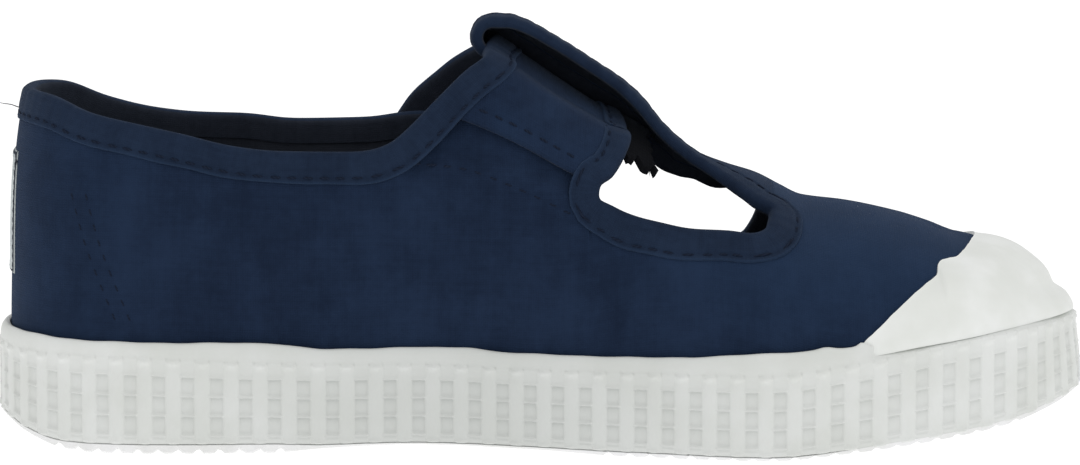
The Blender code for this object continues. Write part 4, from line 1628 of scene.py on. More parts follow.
@dataclass(frozen=True)
class Floor(Finish):
    """Plain pale studio floor, lit a little from below as a white sweep is."""

    colour: Colour
    glow: float = 0.82

    def paint(self, kit: NodeKit) -> None:
        """A matt colour with a trace of unevenness.

        Args:
            kit: Adds the nodes.
        """
        cloud = kit.noise(kit.place(), 3.0, 2.0)
        colour = kit.mixed(cloud, self.colour, tinted(self.colour, 0.995, 0.995, 0.995))
        kit.set_shader(Base_Color=colour, Roughness=0.95, Specular_IOR_Level=0.0,
                       Emission_Color=(1.0, 1.0, 1.0, 1.0), Emission_Strength=self.glow)


LINING = rgb(42, 46, 55)
NAVY = Canvas("navy canvas", rgb(26, 39, 61), LINING, nap=0.22, cloud=0.6)
TAPE = Canvas("navy cotton tape", rgb(28, 40, 60), LINING, thread=0.34, cloud=0.4)
FOOTBED = Canvas("grey footbed cloth", rgb(70, 74, 80), LINING, thread=0.7)
LABEL_CLOTH = Canvas("white label cloth", rgb(196, 203, 204), LINING, thread=0.3, nap=0.1, cloud=0.5)
WHITE_RUBBER = Rubber("white sidewall rubber", rgb(223, 225, 222), rgb(196, 199, 196))
CAP_RUBBER = Rubber("white cap rubber", rgb(234, 236, 233), rgb(204, 207, 204), rough=0.42)
SOLE_RUBBER = Rubber("white outsole rubber", rgb(234, 234, 234), rgb(190, 191, 189), rough=0.6, pores=0.5)
SEWING_THREAD = Thread("navy thread", rgb(27, 36, 54))
STUDIO_FLOOR = Floor("studio floor", rgb(160, 160, 160))


# ------------ sub-assemblies


@dataclass
class Upper:
    """Canvas upper: quarters, vamp and T-bar in one sheet, its bound edges and its seams."""

    last: Last
    foot_rows: int = 8
    side_rows: int = 38
    vamp_rows: int = 20
    vamp_share: float = 0.62
    tab_sink: float = 0.9
    collar_width: float = 4.8
    cut_out_width: float = 5.4
    bar_width: float = 4.4
    strap_front_width: float = 3.4
    stitch_in: float = 0.95
    bar_under_end: float = 18.6
    strap_over: float = 0.05
    strap_back_turns: Pair = (85.0, 41.0)
    strap_front_turns: Pair = (69.0, 39.6)
    hair_count: int = 46
    vamp_painted_light: float = 0.42
    vamp_light_stations: Pair = (2.0, 50.0)
    vamp_light_heights: Pair = (12.0, 36.0)
    heel_painted_light: float = 0.09
    heel_light_stations: Pair = (-80.0, -60.0)
    turn_back: float = -50.0
    quarter_columns: int = 360
    tab_rise: Pair = (-23.0, -19.5)
    tab_fall: Pair = (6.8, 8.4)
    tab_depths: Pair = (9.0, 6.6)
    vamp_columns_each: int = 90
    corner_ease: Pair = (34.5, CUT_OUT_FRONT)
    torn_length: float = 9.0
    torn: tuple[Triple, ...] = ((0.045, 2.9, 0.0), (0.03, 6.1, 1.0))
    ragged_length: float = 5.0
    ragged: tuple[Triple, ...] = ((0.55, 0.7, 0.6), (0.3, 2.3, 0.0), (0.22, 5.9, 1.0))
    step_stations: Pair = (6.9, 8.5)
    hair_ways: tuple[Pair, ...] = ((-0.9, 1.5), (-0.7, 0.7), (-1.6, 0.3))
    hair_bends: tuple[Pair, ...] = ((-0.6, 0.6), (-0.5, 0.5), (-0.9, 0.1))
    collar_ends: Pair = (-21.5, -8.0)
    cut_out_start: float = 8.3
    counter_seam: tuple[Pair, ...] = ((-77.0, 42.5), (-74.0, 33.0), (-68.0, 19.5))
    counter_rows: Pair = (0.0, 2.6)
    strap_seam: tuple[Pair, ...] = ((-21.5, 46.5), (-12.0, 45.8), (-2.0, 41.8), (5.5, 38.2))
    on_tape: float = 0.34
    in_seam: Pair = (-0.06, -0.04)

    def __post_init__(self) -> None:
        """Lay out the two flat patterns."""
        self.side_pattern = RibPattern(self.last)
        self.throat = ThroatPattern(self.last)
        self.front_loop = {side: float(self.last.loop_at(side, CUT_OUT_FRONT)) for side in Side}

    def foot_drop(self, u: Array) -> Array:
        """How far the upright foot of the canvas reaches below the ribs of the last, at the sole's edge."""
        x = self.last.plan(u)[..., 0]
        return RIBS.at("upright", x) - SOLE_SIDE.at("ground", x) - SOLE_SIDE.at("edge", x)

    def cloth_place(self, u: Array, b: Array, points: Array) -> Array:
        """Cloth coordinates: along the shoe, or round it at the heel, and up from the sole.

        Args:
            u: Loop distances.
            b: Lengths up the rib.
            points: The points there.

        Returns:
            Along: x, or at the heel the loop distance. Up: the rib's length plus what the crest's ribs lack.
        """
        medial = self.last.is_medial(u)
        start, stop = (self.last.loop_at(side, self.turn_back) for side in Side)
        x = points[..., 0]
        behind = np.where(medial, u - start, stop - u)
        length = np.where(behind > 0, self.turn_back - behind, x)
        whole = float(self.last.total(np.array(self.front_loop[Side.MEDIAL])))
        rise = b + smoothstep(x, 0.0, 40.0) * (whole - self.last.total(u))
        return np.stack([length, rise], -1)

    def wall_grid(self, u: Array, b: Array, sink: Array | float = 0.0) -> tuple[Skin, Array]:
        """Outer skin of a grid of pattern places, with painted light on the vamp and a little at the heel.

        Args:
            u: Loop distances.
            b: Lengths up the rib.
            sink: How far the cloth lies under its usual face.

        Returns:
            The skin and the inner points behind it.
        """
        outer = self.side_pattern.point(u, b, -np.asarray(sink))
        inner = self.side_pattern.point(u, b, -np.asarray(sink) - WALL)
        x, z = outer[..., 0], outer[..., 2]
        # Painted light: the tone pales the upper front of the vamp and a little of the heel, where more light
        # falls.
        pale = self.vamp_painted_light * smoothstep(x, *self.vamp_light_stations) * smoothstep(z, *self.vamp_light_heights)
        pale = pale + self.heel_painted_light * (1.0 - smoothstep(x, *self.heel_light_stations))
        return Skin.grid(outer, self.cloth_place(u, b, outer), pale), inner.reshape(-1, 3)

    def foot_lengths(self, u: Array) -> Array:
        """Rows below the rib's foot, down the upright part, as negative lengths."""
        share = np.linspace(1.0, 0.0, self.foot_rows, endpoint=False)
        return -self.foot_drop(u)[:, None] * share[None]

    def quarters(self) -> tuple[Skin, Array]:
        """Both quarters round the heel, from the cut-outs' front ends; the tab is sunk under the strap.

        Returns:
            The outer skin and the inner points behind it.
        """
        start, stop = self.front_loop[Side.MEDIAL], self.front_loop[Side.LATERAL]
        steps = np.linspace(*self.step_stations, 7)
        step_places = [self.last.loop_at(side, x) for side in Side for x in steps]
        even = np.linspace(start, stop, self.quarter_columns)
        u = np.unique(np.concatenate([even, np.array(step_places, float)]))
        rim = self.last.rim_length(u)
        b = np.concatenate([self.foot_lengths(u), rim[:, None] * np.linspace(0.0, 1.0, self.side_rows)], 1)
        loops = np.broadcast_to(u[:, None], b.shape)
        x = self.last.plan(loops)[..., 0]
        tab = plateau(x, self.tab_rise, self.tab_fall) * self.last.is_medial(loops)
        low, high = (rim[:, None] - depth for depth in self.tab_depths)
        return self.wall_grid(loops, b, self.tab_sink * tab * smoothstep(b, low, high))

    def vamp_columns(self, side: Side) -> tuple[Array, Array]:
        """Columns of the vamp on one side, from the cut-outs to the toe's tip.

        Args:
            side: Side of the foot.

        Returns:
            Loop distances and, for each, the rib lengths of its rows.
        """
        medial = np.linspace(self.front_loop[Side.MEDIAL], 0.0, self.vamp_columns_each)
        x = self.last.plan(medial)[..., 0]
        u = medial if side is Side.MEDIAL else self.last.loop_at(side, x)
        total = self.last.total(u)
        corner = float(self.last.rim_length(u[:1])[0] / total[0])
        share = corner + (self.vamp_share - corner) * smoothstep(x, CUT_OUT_FRONT, self.last.length / 2)
        rows = np.linspace(0.0, 1.0, self.side_rows)
        upper = np.linspace(0.0, 1.0, self.vamp_rows + 1)[1:]
        low = (share * total)[:, None] * rows
        high = total[:, None] * (share[:, None] + (1.0 - share[:, None]) * upper)
        return u, np.concatenate([self.foot_lengths(u), low, high], 1)

    def vamp(self, side: Side) -> tuple[Skin, Array]:
        """One half of the vamp, up to the crest.

        Args:
            side: Side of the foot.

        Returns:
            The outer skin and the inner points behind it.
        """
        u, b = self.vamp_columns(side)
        skin, inner = self.wall_grid(np.broadcast_to(u[:, None], b.shape), b)
        if side is Side.MEDIAL:
            skin.faces = skin.faces[:, ::-1]
        return skin, inner

    def plain_edge(self, u: Array, x: Array | float) -> Array:
        """Length from the crest to where the T-bar's half width lies on the last, less the tape's roll.

        The turn there is the arc cosine of the half width over the last's reach, to half the rib's power.

        Args:
            u: Loop distances.
            x: Their stations.

        Returns:
            Lengths from the crest.
        """
        last = self.last
        reach = np.abs(last.rib(u, np.zeros_like(u))[..., 1] - last.middle(x))
        share = np.minimum(T_BAR.at("half", x) / reach, 1.0)
        turn = np.degrees(np.arccos(share ** (RIBS.at("power", x) / 2.0)))
        return last.total(u) - last.length_at(u, turn) - ROLL_ROOM

    def bar_edge(self, x: Array, side: Side) -> Array:
        """Length from the crest to the T-bar's edge: the plain edge, eased into the vamp's corner.

        Args:
            x: Stations.
            side: Side of the foot.

        Returns:
            Lengths from the crest.
        """
        last = self.last
        corner_u = np.array([self.front_loop[side]])
        corner = float((last.total(corner_u) - last.rim_length(corner_u))[0])
        plain = float(self.plain_edge(corner_u, CUT_OUT_FRONT)[0])
        edge = self.plain_edge(last.loop_at(side, x), x)
        return edge + (corner - plain) * smoothstep(x, *self.corner_ease)

    def fold_around(self) -> float:
        """Length of the cloth round the fold, at the middle of its wall."""
        return math.pi * (self.throat.fold_radius + self.throat.bar_wall / 2)

    def bar_stations(self) -> Array:
        """Pattern stations of the T-bar: back to the fold, round it, and forward again below.

        Returns:
            Stations, which run on backwards by length behind the fold.
        """
        below = FOLD_X - self.fold_around()
        end = below - (self.bar_under_end - FOLD_X)
        stretches = ((CUT_OUT_FRONT, FOLD_X, 50), (FOLD_X, below, 14), (below, end, 60))
        rows = [np.linspace(*stretch)[index > 0:] for index, stretch in enumerate(stretches)]
        return np.concatenate(rows)

    def bar_half_at(self, stations: Array, side: Side) -> Array:
        """Length from the crest to the edge at pattern stations, those behind the fold included."""
        return self.bar_edge(np.maximum(stations, FOLD_X), side)

    def bar(self, front: Array) -> tuple[Skin, Array]:
        """T-bar as one strip of the pattern; its first row is the vamp's own edge, its last one ragged.

        Args:
            front: Outer and inner points of the vamp's edge from the medial to the lateral corner.

        Returns:
            Outer skin and the inner points.
        """
        stations = self.bar_stations()
        share = np.linspace(1.0, 0.0, self.vamp_rows + 1)
        medial = -self.bar_half_at(stations, Side.MEDIAL)[:, None] * share[None, :]
        lateral = self.bar_half_at(stations, Side.LATERAL)[:, None] * share[None, ::-1]
        torn = smoothstep(stations[-1] + self.torn_length - stations, 0.0, 4.0)
        torn = torn * waves(stations, *self.torn)
        b = np.concatenate([medial, lateral[:, 1:]], 1) * (1.0 + torn[:, None])
        ragged = waves(b, *self.ragged)
        near_end = smoothstep(stations[-1] + self.ragged_length - stations, 0.0, self.ragged_length)
        a = stations[:, None] - ragged * near_end[:, None]
        outer = self.throat.point(a, b)
        inner = self.throat.point(a, b, -self.throat.wall(a))
        outer[0], inner[0] = front
        # Tone -1 shows the lining face on the lower layer past the fold; the further -1 ahead of it is
        # painted shade under the strap, drawn as a darker lining.
        below = -smoothstep(FOLD_X - 0.6 * self.fold_around() - a, 0.0, 1.5)
        below = below - smoothstep(FOLD_X - self.fold_around() - a, 2.0, 8.0)
        return Skin.grid(outer, np.stack([a, b], -1), below), inner.reshape(-1, 3)

    def sheet(self) -> Skin:
        """The whole canvas as one closed wall.

        Returns:
            The closed skin.
        """
        quarters, quarters_in = self.quarters()
        medial, medial_in = self.vamp(Side.MEDIAL)
        lateral, lateral_in = self.vamp(Side.LATERAL)
        columns = self.foot_rows + self.side_rows + self.vamp_rows
        corner = self.foot_rows + self.side_rows - 1
        front = np.stack([
            np.concatenate([one[corner:columns], two[corner:columns - 1][::-1]])
            for one, two in ((medial.points, lateral.points), (medial_in, lateral_in))
        ])
        bar, bar_in = self.bar(front)
        bar.faces = bar.faces[:, ::-1]
        whole = Skin.joined(quarters, medial, lateral, bar)
        inner = np.concatenate([quarters_in, medial_in, lateral_in, bar_in])
        skin, kept = whole.merged()
        return skin.thickened(inner[kept], -1.0).outward()

    def strap_edge(self, column: str, room: float) -> tuple[Array, Array, Array, Array]:
        """Down one edge of the strap on the medial side.

        Args:
            column: Which edge of the strap's table.
            room: How far ahead of that edge the path runs.

        Returns:
            Stations, loop distances, turns and rises over the upper's cloth.
        """
        turns = self.strap_back_turns if column == "back" else self.strap_front_turns
        turn = np.arange(*turns, -0.4)
        x = STRAP.at(column, turn) + room
        rise = StrapPattern(self.last).lift_at(turn) + self.strap_over
        return x, self.last.loop_at(Side.MEDIAL, x), turn, rise

    def collar_route(self) -> Route:
        """The long tape: down the strap's back edge, then along the collar round the heel.

        Returns:
            The route, which ends at the strap's free end.
        """
        last = self.last
        _, strap_u, turn, rise = self.strap_edge("back", ROLL_ROOM)
        strap = np.stack([strap_u, last.length_at(strap_u, turn), rise], 1)
        start, stop = (last.loop_at(side, x) for side, x in zip(Side, self.collar_ends))
        u = np.arange(start, stop, 0.25)
        collar = np.stack([u, last.rim_length(u), np.zeros(len(u))], 1)
        path = soften(np.concatenate([strap, collar]), 6.0)
        return Route(self.side_pattern, path[:, :2], -1.0, path[:, 2])

    def cut_out_route(self, side: Side) -> Route:
        """Edge of one cut-out: forward along the quarter, round its front end, back along the T-bar.

        Args:
            side: Side of the foot; medially the tape comes down the strap's front edge first.

        Returns:
            The route, which ends under the strap.
        """
        last, sign = self.last, side.value
        x = np.arange(self.cut_out_start, CUT_OUT_FRONT, 0.2)
        u = last.loop_at(side, x)
        low = np.stack([x, sign * (last.total(u) - last.rim_length(u)), np.zeros(len(x))], 1)
        back = np.arange(CUT_OUT_FRONT, FOLD_X - self.fold_around() - 2.0, -0.2)
        high = np.stack([back, sign * self.bar_half_at(back, side), np.zeros(len(back))], 1)
        path = np.concatenate([low, high])
        if side is Side.MEDIAL:
            edge, edge_u, turn, rise = self.strap_edge("front", -ROLL_ROOM)
            length = last.total(edge_u) - last.length_at(edge_u, turn)
            path = np.concatenate([np.stack([edge, -length, rise], 1), path])
        path = soften(path, 2.5)
        return Route(self.throat, path[:, :2], float(sign), path[:, 2])

    def cut_out_tape(self, route: Route, side: Side) -> tuple[Array, Array]:
        """Tape of a cut-out: narrower on the T-bar and on the strap than along the quarter.

        Args:
            route: Its route.
            side: Side of the foot.

        Returns:
            Widths of the tape and thicknesses of the cloth that it binds.
        """
        station = route.places[:, 0]
        half = self.bar_half_at(np.clip(station, FOLD_X, CUT_OUT_FRONT), side)
        on_bar = np.abs(route.places[:, 1]) < half + 0.6
        width = np.where(route.rise > 0.5, self.strap_front_width, self.cut_out_width)
        width = np.where(on_bar, self.bar_width, width)
        wall = np.where(on_bar, self.throat.wall(station), WALL)
        soft = soften(np.stack([width, wall], 1), 6.0)
        return soft[:, 0], soft[:, 1]

    def seam(self, side: Side, *places: Pair) -> Route:
        """Seam over the quarter.

        Args:
            side: Side of the foot.
            *places: Stations and heights along it.

        Returns:
            The route.
        """
        x, z = np.array(places, float).T
        share = np.linspace(0.0, len(x) - 1.0, 60)
        u = self.last.loop_at(side, np.interp(share, np.arange(len(x)), x))
        height = np.interp(share, np.arange(len(x)), z)
        length = self.last.length_at(u, self.last.turn_at_height(u, height))
        return Route(self.side_pattern, soften(np.stack([u, length], 1), 5.0), 1.0)

    def frayed_end(self) -> Skin:
        """Hairs at the ragged end of the T-bar's lower layer, and one loose thread at the heel.

        Returns:
            All hairs as one skin.
        """
        count = self.hair_count
        b = seeded_noise(21, count, -7.0, 7.0)
        end = self.bar_stations()[-1]
        start = self.throat.point(np.full(count, end + 0.4), b, -seeded_noise(22, count, 0.1, 1.0))
        way, bend = (
            np.stack([seeded_noise(seed + axis, count, *limits) for axis, limits in enumerate(ranges)], 1)
            for seed, ranges in ((23, self.hair_ways), (27, self.hair_bends))
        )
        heel = (np.array([[-84.2, -4.0, 54.2]]), np.array([[-4.0, -0.6, 0.2]]), np.array([[-0.5, 0.0, 0.9]]))
        return LooseYarn().skin(*(np.concatenate([one, two]) for one, two in zip((start, way, bend), heel)))

    def build(self) -> Pieces:
        """Make the canvas, its bindings and its stitches.

        Returns:
            Its pieces.
        """
        binding, row = Binding(), StitchRow()
        canvas = self.sheet().build("upper_canvas", NAVY)
        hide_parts("upper")
        collar = self.collar_route()
        pieces = [canvas, binding.skin(collar, self.collar_width).build("collar_binding", TAPE)]
        stitches = [row.skin(collar, self.collar_width - self.stitch_in, self.on_tape)]
        for side in Side:
            route = self.cut_out_route(side)
            width, wall = self.cut_out_tape(route, side)
            name = f"cut_out_binding_{side.name.lower()}"
            pieces.append(binding.skin(route, width, 1.3 * side.value, wall).build(name, TAPE))
            stitches.append(row.skin(route, width - self.stitch_in, self.on_tape))
            for shift in self.counter_rows:
                counter = self.seam(side, *((x + shift, z) for x, z in self.counter_seam))
                stitches.append(row.skin(counter, 0.0, self.in_seam[0]))
        stitches.append(row.skin(self.seam(Side.MEDIAL, *self.strap_seam), 0.0, self.in_seam[1]))
        pieces.append(self.frayed_end().build("frayed_yarn", SEWING_THREAD))
        pieces.append(Skin.joined(*stitches).build("upper_stitches", SEWING_THREAD))
        for piece in pieces:
            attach(piece, "root")
        return pieces


@dataclass
class Strap:
    """Instep strap: a folded lower end sewn on medially, bound edges, a free end laid over laterally."""

    last: Last
    thick: float = 1.5
    first_turn: float = 39.3
    last_turn: float = 166.0
    back_tape_turn: float = 83.0
    front_tape_turn: float = 67.5
    rows: int = 130
    columns: int = 42
    roll: float = 0.7
    rubbed: float = 0.16
    wide_tape: float = 4.8
    narrow_tape: float = 3.4
    back_stitches: float = 3.85
    front_stitches: float = 2.45
    end_stitches: float = 2.4
    end_stitch_ends: Pair = (4.5, 3.0)
    on_tape: float = 0.34
    on_cloth: float = 0.05

    def __post_init__(self) -> None:
        """Lay out the strap's pattern."""
        self.pattern = StrapPattern(self.last)

    def places(self, turn: Array, share: Array) -> tuple[Array, Array]:
        """Pattern places at turns of the arch and shares of the width, 0 at the back edge."""
        back, front = STRAP.at("back", turn) + ROLL_ROOM, STRAP.at("front", turn) - ROLL_ROOM
        a = back + share * (front - back)
        return a, self.pattern.place_at_turn(a, turn)

    def body(self) -> Skin:
        """The strap's cloth as a closed wall; a quarter circle rolls its ends under.

        Returns:
            The closed skin.
        """
        turn, share = np.meshgrid(np.linspace(self.first_turn, self.last_turn, self.rows),
                                  np.linspace(0.0, 1.0, self.columns), indexing="ij")
        a, b = self.places(turn, share)
        flat = self.pattern.point(a, b)
        run = summed(np.linalg.norm(np.diff(flat, axis=0), axis=2))
        inside = np.clip(np.minimum(run, run[-1:] - run), 0.0, self.roll)
        drop = self.roll - np.sqrt(np.maximum(self.roll**2 - (self.roll - inside) ** 2, 0.0))
        outer = self.pattern.point(a, b, -drop)
        inner = self.pattern.point(a, b, -self.thick + drop * 0.7)
        rubbed = self.rubbed * np.sin(a * 0.45 + 1.0) * np.sin(b * 0.33 + 0.5)
        return Skin.grid(outer, np.stack([a, b], -1), rubbed).thickened(inner.reshape(-1, 3), -1.0).outward()

    def edge_route(self, front: bool) -> Route:
        """Back or front edge, from where the upper's tapes leave it to the free end."""
        turn = np.linspace(self.front_tape_turn if front else self.back_tape_turn, self.last_turn, 500)
        a, b = self.places(turn, np.full_like(turn, 1.0 if front else 0.0))
        return Route(self.pattern, soften(np.stack([a, b], 1), 5.0), 1.0 if front else -1.0)

    def end_route(self, turn: float, sign: float) -> Route:
        """Line across the strap at one turn, with the cloth on one side of it by sign."""
        share = np.linspace(0.0, 1.0, 200)
        a, b = self.places(np.full_like(share, turn), share)
        return Route(self.pattern, np.stack([a, b], 1), sign)

    def build(self) -> Pieces:
        """Make the strap, its bindings and its stitches.

        Returns:
            Its pieces.
        """
        body = self.body().build("strap_canvas", NAVY)
        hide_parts("instep_strap")
        binding, row = Binding(), StitchRow(seed=11)
        back, front = self.edge_route(False), self.edge_route(True)
        free_end = self.end_route(self.last_turn - 0.4, -1.0)
        lower = self.end_route(self.first_turn, 1.0)
        edges = ((back, self.wide_tape, 0.4), (front, self.narrow_tape, 2.0),
                 (free_end, self.narrow_tape, 1.0))
        tapes = Skin.joined(*(binding.skin(route, width, seed, self.thick) for route, width, seed in edges))
        start, stop = self.end_stitch_ends
        stitches = Skin.joined(
            row.skin(back, self.back_stitches, self.on_tape),
            row.skin(front, self.front_stitches, self.on_tape),
            row.skin(lower, self.end_stitches, self.on_cloth, start, lower.length - stop),
            row.skin(free_end, self.end_stitches, self.on_tape),
        )
        pieces = [body, tapes.build("strap_binding", TAPE), stitches.build("strap_stitches", SEWING_THREAD)]
        for piece in pieces:
            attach(piece, "root")
        return pieces


@dataclass
class Sidewall:
    """Rubber sidewall: upright ribs with bulging ends, bays with three sunk squares, a plain band above."""

    last: Last
    rib_count: int = 92
    first: float = -0.21
    rib_share: float = 0.46
    flank: float = 0.05
    bay_depth: float = 0.2
    square_depth: float = 0.21
    ledges: tuple[float, ...] = (0.1, 0.34, 0.575, 0.81)
    ledge_half: float = 0.02
    thick: float = 1.7
    drift: Triple = (0.75, -22.0, 34.0)
    under_cap: Pair = (51.0, 54.0)
    lean: float = 1.4
    lean_stations: Pair = (78.0, 88.5)
    head: Pair = (0.955, 0.04)
    foot: Pair = (0.02, 0.035)
    bulges: Pair = (0.42, 0.3)
    castings: float = 0.3
    ledge_height: float = 0.2
    shadow: Pair = (-0.034, 0.014)
    flank_shade: float = 0.04
    square_shade: float = 0.1
    shadow_tone: float = 0.3
    head_light: float = 0.3
    marks: tuple[float, ...] = (0.0, 0.06, 0.14, 0.23, 0.32, 0.4, 0.45, 0.475, 0.505, 0.53, 0.56, 0.73, 0.9,
                                0.93, 0.955, 0.985)
    levels: tuple[float, ...] = (0.0, 0.006, 0.02, 0.035, 0.05, 0.2, 0.24, 0.43, 0.47, 0.66, 0.71, 0.88,
                                 0.905, 0.925, 0.94, 0.955, 0.97, 0.985, 1.0)
    ledge_levels: tuple[float, ...] = (-2.4, -1.7, -1.0, -0.4, 0.1, 0.8, 1.5)
    band_levels: tuple[float, ...] = (0.1, 0.3, 0.55, 0.78, 0.92, 0.985)
    band_backs: tuple[float, ...] = (0.2, 0.2, 0.28, 0.48, 0.74, 1.0)
    covered_backs: tuple[float, ...] = (0.3, 1.1, 1.3, 1.4, 1.5, 1.55)
    rim_lifts: tuple[Triple, ...] = ((0.35, -11.5, 2.6), (0.4, 45.7, 1.6))
    medial_lift: Triple = (0.7, 51.6, 0.9)

    def relief(self, phase: Array, share: Array, casting: Array) -> tuple[Array, Array]:
        """How far the face is set back at a phase of the pitch and a share of the rib's height.

        Args:
            phase: Place in one pitch, 0 to 1; the rib is from 0 to rib_share.
            share: Place up the rib, 0 to 1.
            casting: Slow random number for each column, which varies the ribs.

        Returns:
            Set-back in millimetres and the tone: painted shade on the bays, in the squares and under the
            ledges, less a painted highlight on the rib heads.
        """
        centre = self.rib_share / 2
        off = np.abs(np.mod(phase - centre + 0.5, 1.0) - 0.5)
        flank = smoothstep(off, centre - 0.015, centre + self.flank)
        rib = self.rib_back(np.minimum(off / centre, 1.0) ** 2, share, casting)
        ledge = np.clip(self.ledge_share(share), 0.0, 1.0)
        first, final = self.ledges[0], self.ledges[-1]
        between = plateau(share, (first - 0.02, first), (final - 0.01, final + 0.01))
        side = np.abs(np.mod(phase - centre, 1.0) - 0.5)
        room = 0.5 - centre - self.flank
        inside = 1.0 - smoothstep(side, room - 0.035, room + 0.005)
        square = inside * between * (1.0 - ledge)
        plain = smoothstep(share, 0.93, 1.0) * 0.1 + (1.0 - smoothstep(share, 0.0, 0.07)) * -0.12
        bay = self.bay_depth - self.ledge_height * ledge + self.square_depth * square - plain
        # Painted shadow under each ledge and painted highlight on the rib heads, carried by the tone.
        under = sum(bell(share - at, *self.shadow) for at in self.ledges)
        lit = self.head_light * bell(share, *self.head) * (1.0 - flank)
        tone = self.flank_shade * flank + self.square_shade * square + self.shadow_tone * under * inside * flank
        return rib * (1.0 - flank) + bay * flank, tone - lit

    def rib_back(self, off: Array, share: Array, casting: Array) -> Array:
        """Set-back of a rib: domed across, swollen at its head and foot, rounded off at both ends.

        Args:
            off: Square of the distance from its middle line, 1 at its flanks.
            share: Place up the rib.
            casting: How much more than usual it swells.

        Returns:
            Set-backs, negative where it stands out.
        """
        swell = self.bulges[0] * bell(share, *self.head) + self.bulges[1] * bell(share, *self.foot)
        bulge = -swell * (1.0 - off) * (1.0 + self.castings * casting)
        ends = 0.24 * smoothstep(share, 0.97, 1.0) + 0.25 * (1.0 - smoothstep(share, 0.0, 0.012))
        return 0.12 * off**1.3 + bulge + ends

    def ledge_share(self, share: Array) -> Array:
        """1 on the small ledges between the sunk squares, 0 off them.

        Args:
            share: Place up the rib.

        Returns:
            Their share, steeper below each ledge than above it.
        """
        half = self.ledge_half
        below = [smoothstep(share, at - half, at - half * 0.4) for at in self.ledges]
        above = [smoothstep(share, at + half * 0.1, at + half * 1.5) for at in self.ledges]
        return sum(low - high for low, high in zip(below, above))

    def drifted(self, u: Array) -> Array:
        """Loop distances crowded a little towards the toe round the waist: a bell in x."""
        amount, middle, spread = self.drift
        way = np.where(self.last.is_medial(u), -1.0, 1.0)
        return u + way * amount * bell(self.last.plan(u)[..., 0], middle, spread)

    def rim(self, u: Array) -> Array:
        """Height of the band's upper edge: the sole's top with slow waves and three short lifts.

        Args:
            u: Loop distances.

        Returns:
            Heights.
        """
        x = self.last.plan(u)[..., 0]
        wave = waves(u, (0.05, 0.37, 0.0), (0.04, 0.83, 1.0))
        for height, middle, spread in self.rim_lifts:
            wave = wave + height * bell(x, middle, spread)
        height, middle, spread = self.medial_lift
        wave = wave + height * bell(x, middle, spread) * self.last.is_medial(u)
        return SOLE_SIDE.at("top", x) + wave

    def section(self, u: Array, phase: Array, casting: Array) -> tuple[Array, Array, Array]:
        """Cross-section from the back of the foot, up the face with its relief and over the rolled edge.

        Args:
            u: Loop distances of the columns.
            phase: Their phases of the pitch.
            casting: Their random numbers.

        Returns:
            Insets from the outline, heights and tones, a row for each column.
        """
        x = self.last.plan(u)[..., 0]
        foot = (SOLE_SIDE.at("ground", x) + SOLE_SIDE.at("edge", x) - 0.2)[:, None]
        ribs, rim = SOLE_SIDE.at("ribs", x)[:, None], self.rim(u)[:, None]
        steps = [at + self.ledge_half * level for at in self.ledges for level in self.ledge_levels]
        share = np.sort(np.array(list(self.levels) + steps))
        grid_phase, grid_share = np.meshgrid(np.mod(phase, 1.0), share, indexing="ij")
        back, tone = self.relief(grid_phase, grid_share, casting[:, None])
        covered = smoothstep(x, *self.under_cap)[:, None]
        band = np.array(self.band_backs) * (1.0 - covered) + np.array(self.covered_backs) * covered
        band = band + 0.05 * np.sin(u * 0.6)[:, None]
        thick = np.full_like(foot, self.thick)
        inset = np.concatenate([thick, back, band, 1.3 + 0.3 * covered, thick], 1)
        band_z = ribs + (rim - ribs) * np.array(self.band_levels)
        z = np.concatenate([foot, foot + (ribs - foot) * share, band_z, rim - 0.02, rim - 0.2], 1)
        up = np.clip((z - foot) / (rim - foot), 0.0, 1.0)
        inset = inset + self.lean * smoothstep(x, *self.lean_stations)[:, None] * up**1.3
        # Painted shade: the tone greys the sidewall a little all round and more round the arch, where less
        # light falls.
        waist = 0.12 + 0.55 * bell(x, -10.0, 42.0)[:, None]
        tones = np.broadcast_to(waist, inset.shape).copy()
        tones[:, 1:1 + len(share)] += tone
        return inset, z, tones

    def skin(self) -> Skin:
        """The ring: outer face with its relief, rolled top edge, plain back, closed below.

        Returns:
            The closed skin.
        """
        phase = (np.arange(self.rib_count)[:, None] + np.array(self.marks)).ravel()
        u = self.drifted((phase + self.first) / self.rib_count * self.last.around)
        casting = np.repeat(seeded_noise(3, self.rib_count, -1.0, 1.0), len(self.marks))
        inset, z, tones = self.section(u, phase, casting)
        xy = self.last.plan(np.broadcast_to(u[:, None], inset.shape), inset)
        closed = ringed(ringed(np.concatenate([xy, z[..., None]], -1)), 0)
        return Skin.grid(closed, None, ringed(ringed(tones), 0)).merged()[0].outward()

    def build(self) -> Pieces:
        """Make the sidewall.

        Returns:
            Its one piece.
        """
        piece = self.skin().build("sidewall_band", WHITE_RUBBER, 60.0)
        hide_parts("foxing")
        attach(piece, "root")
        return [piece]


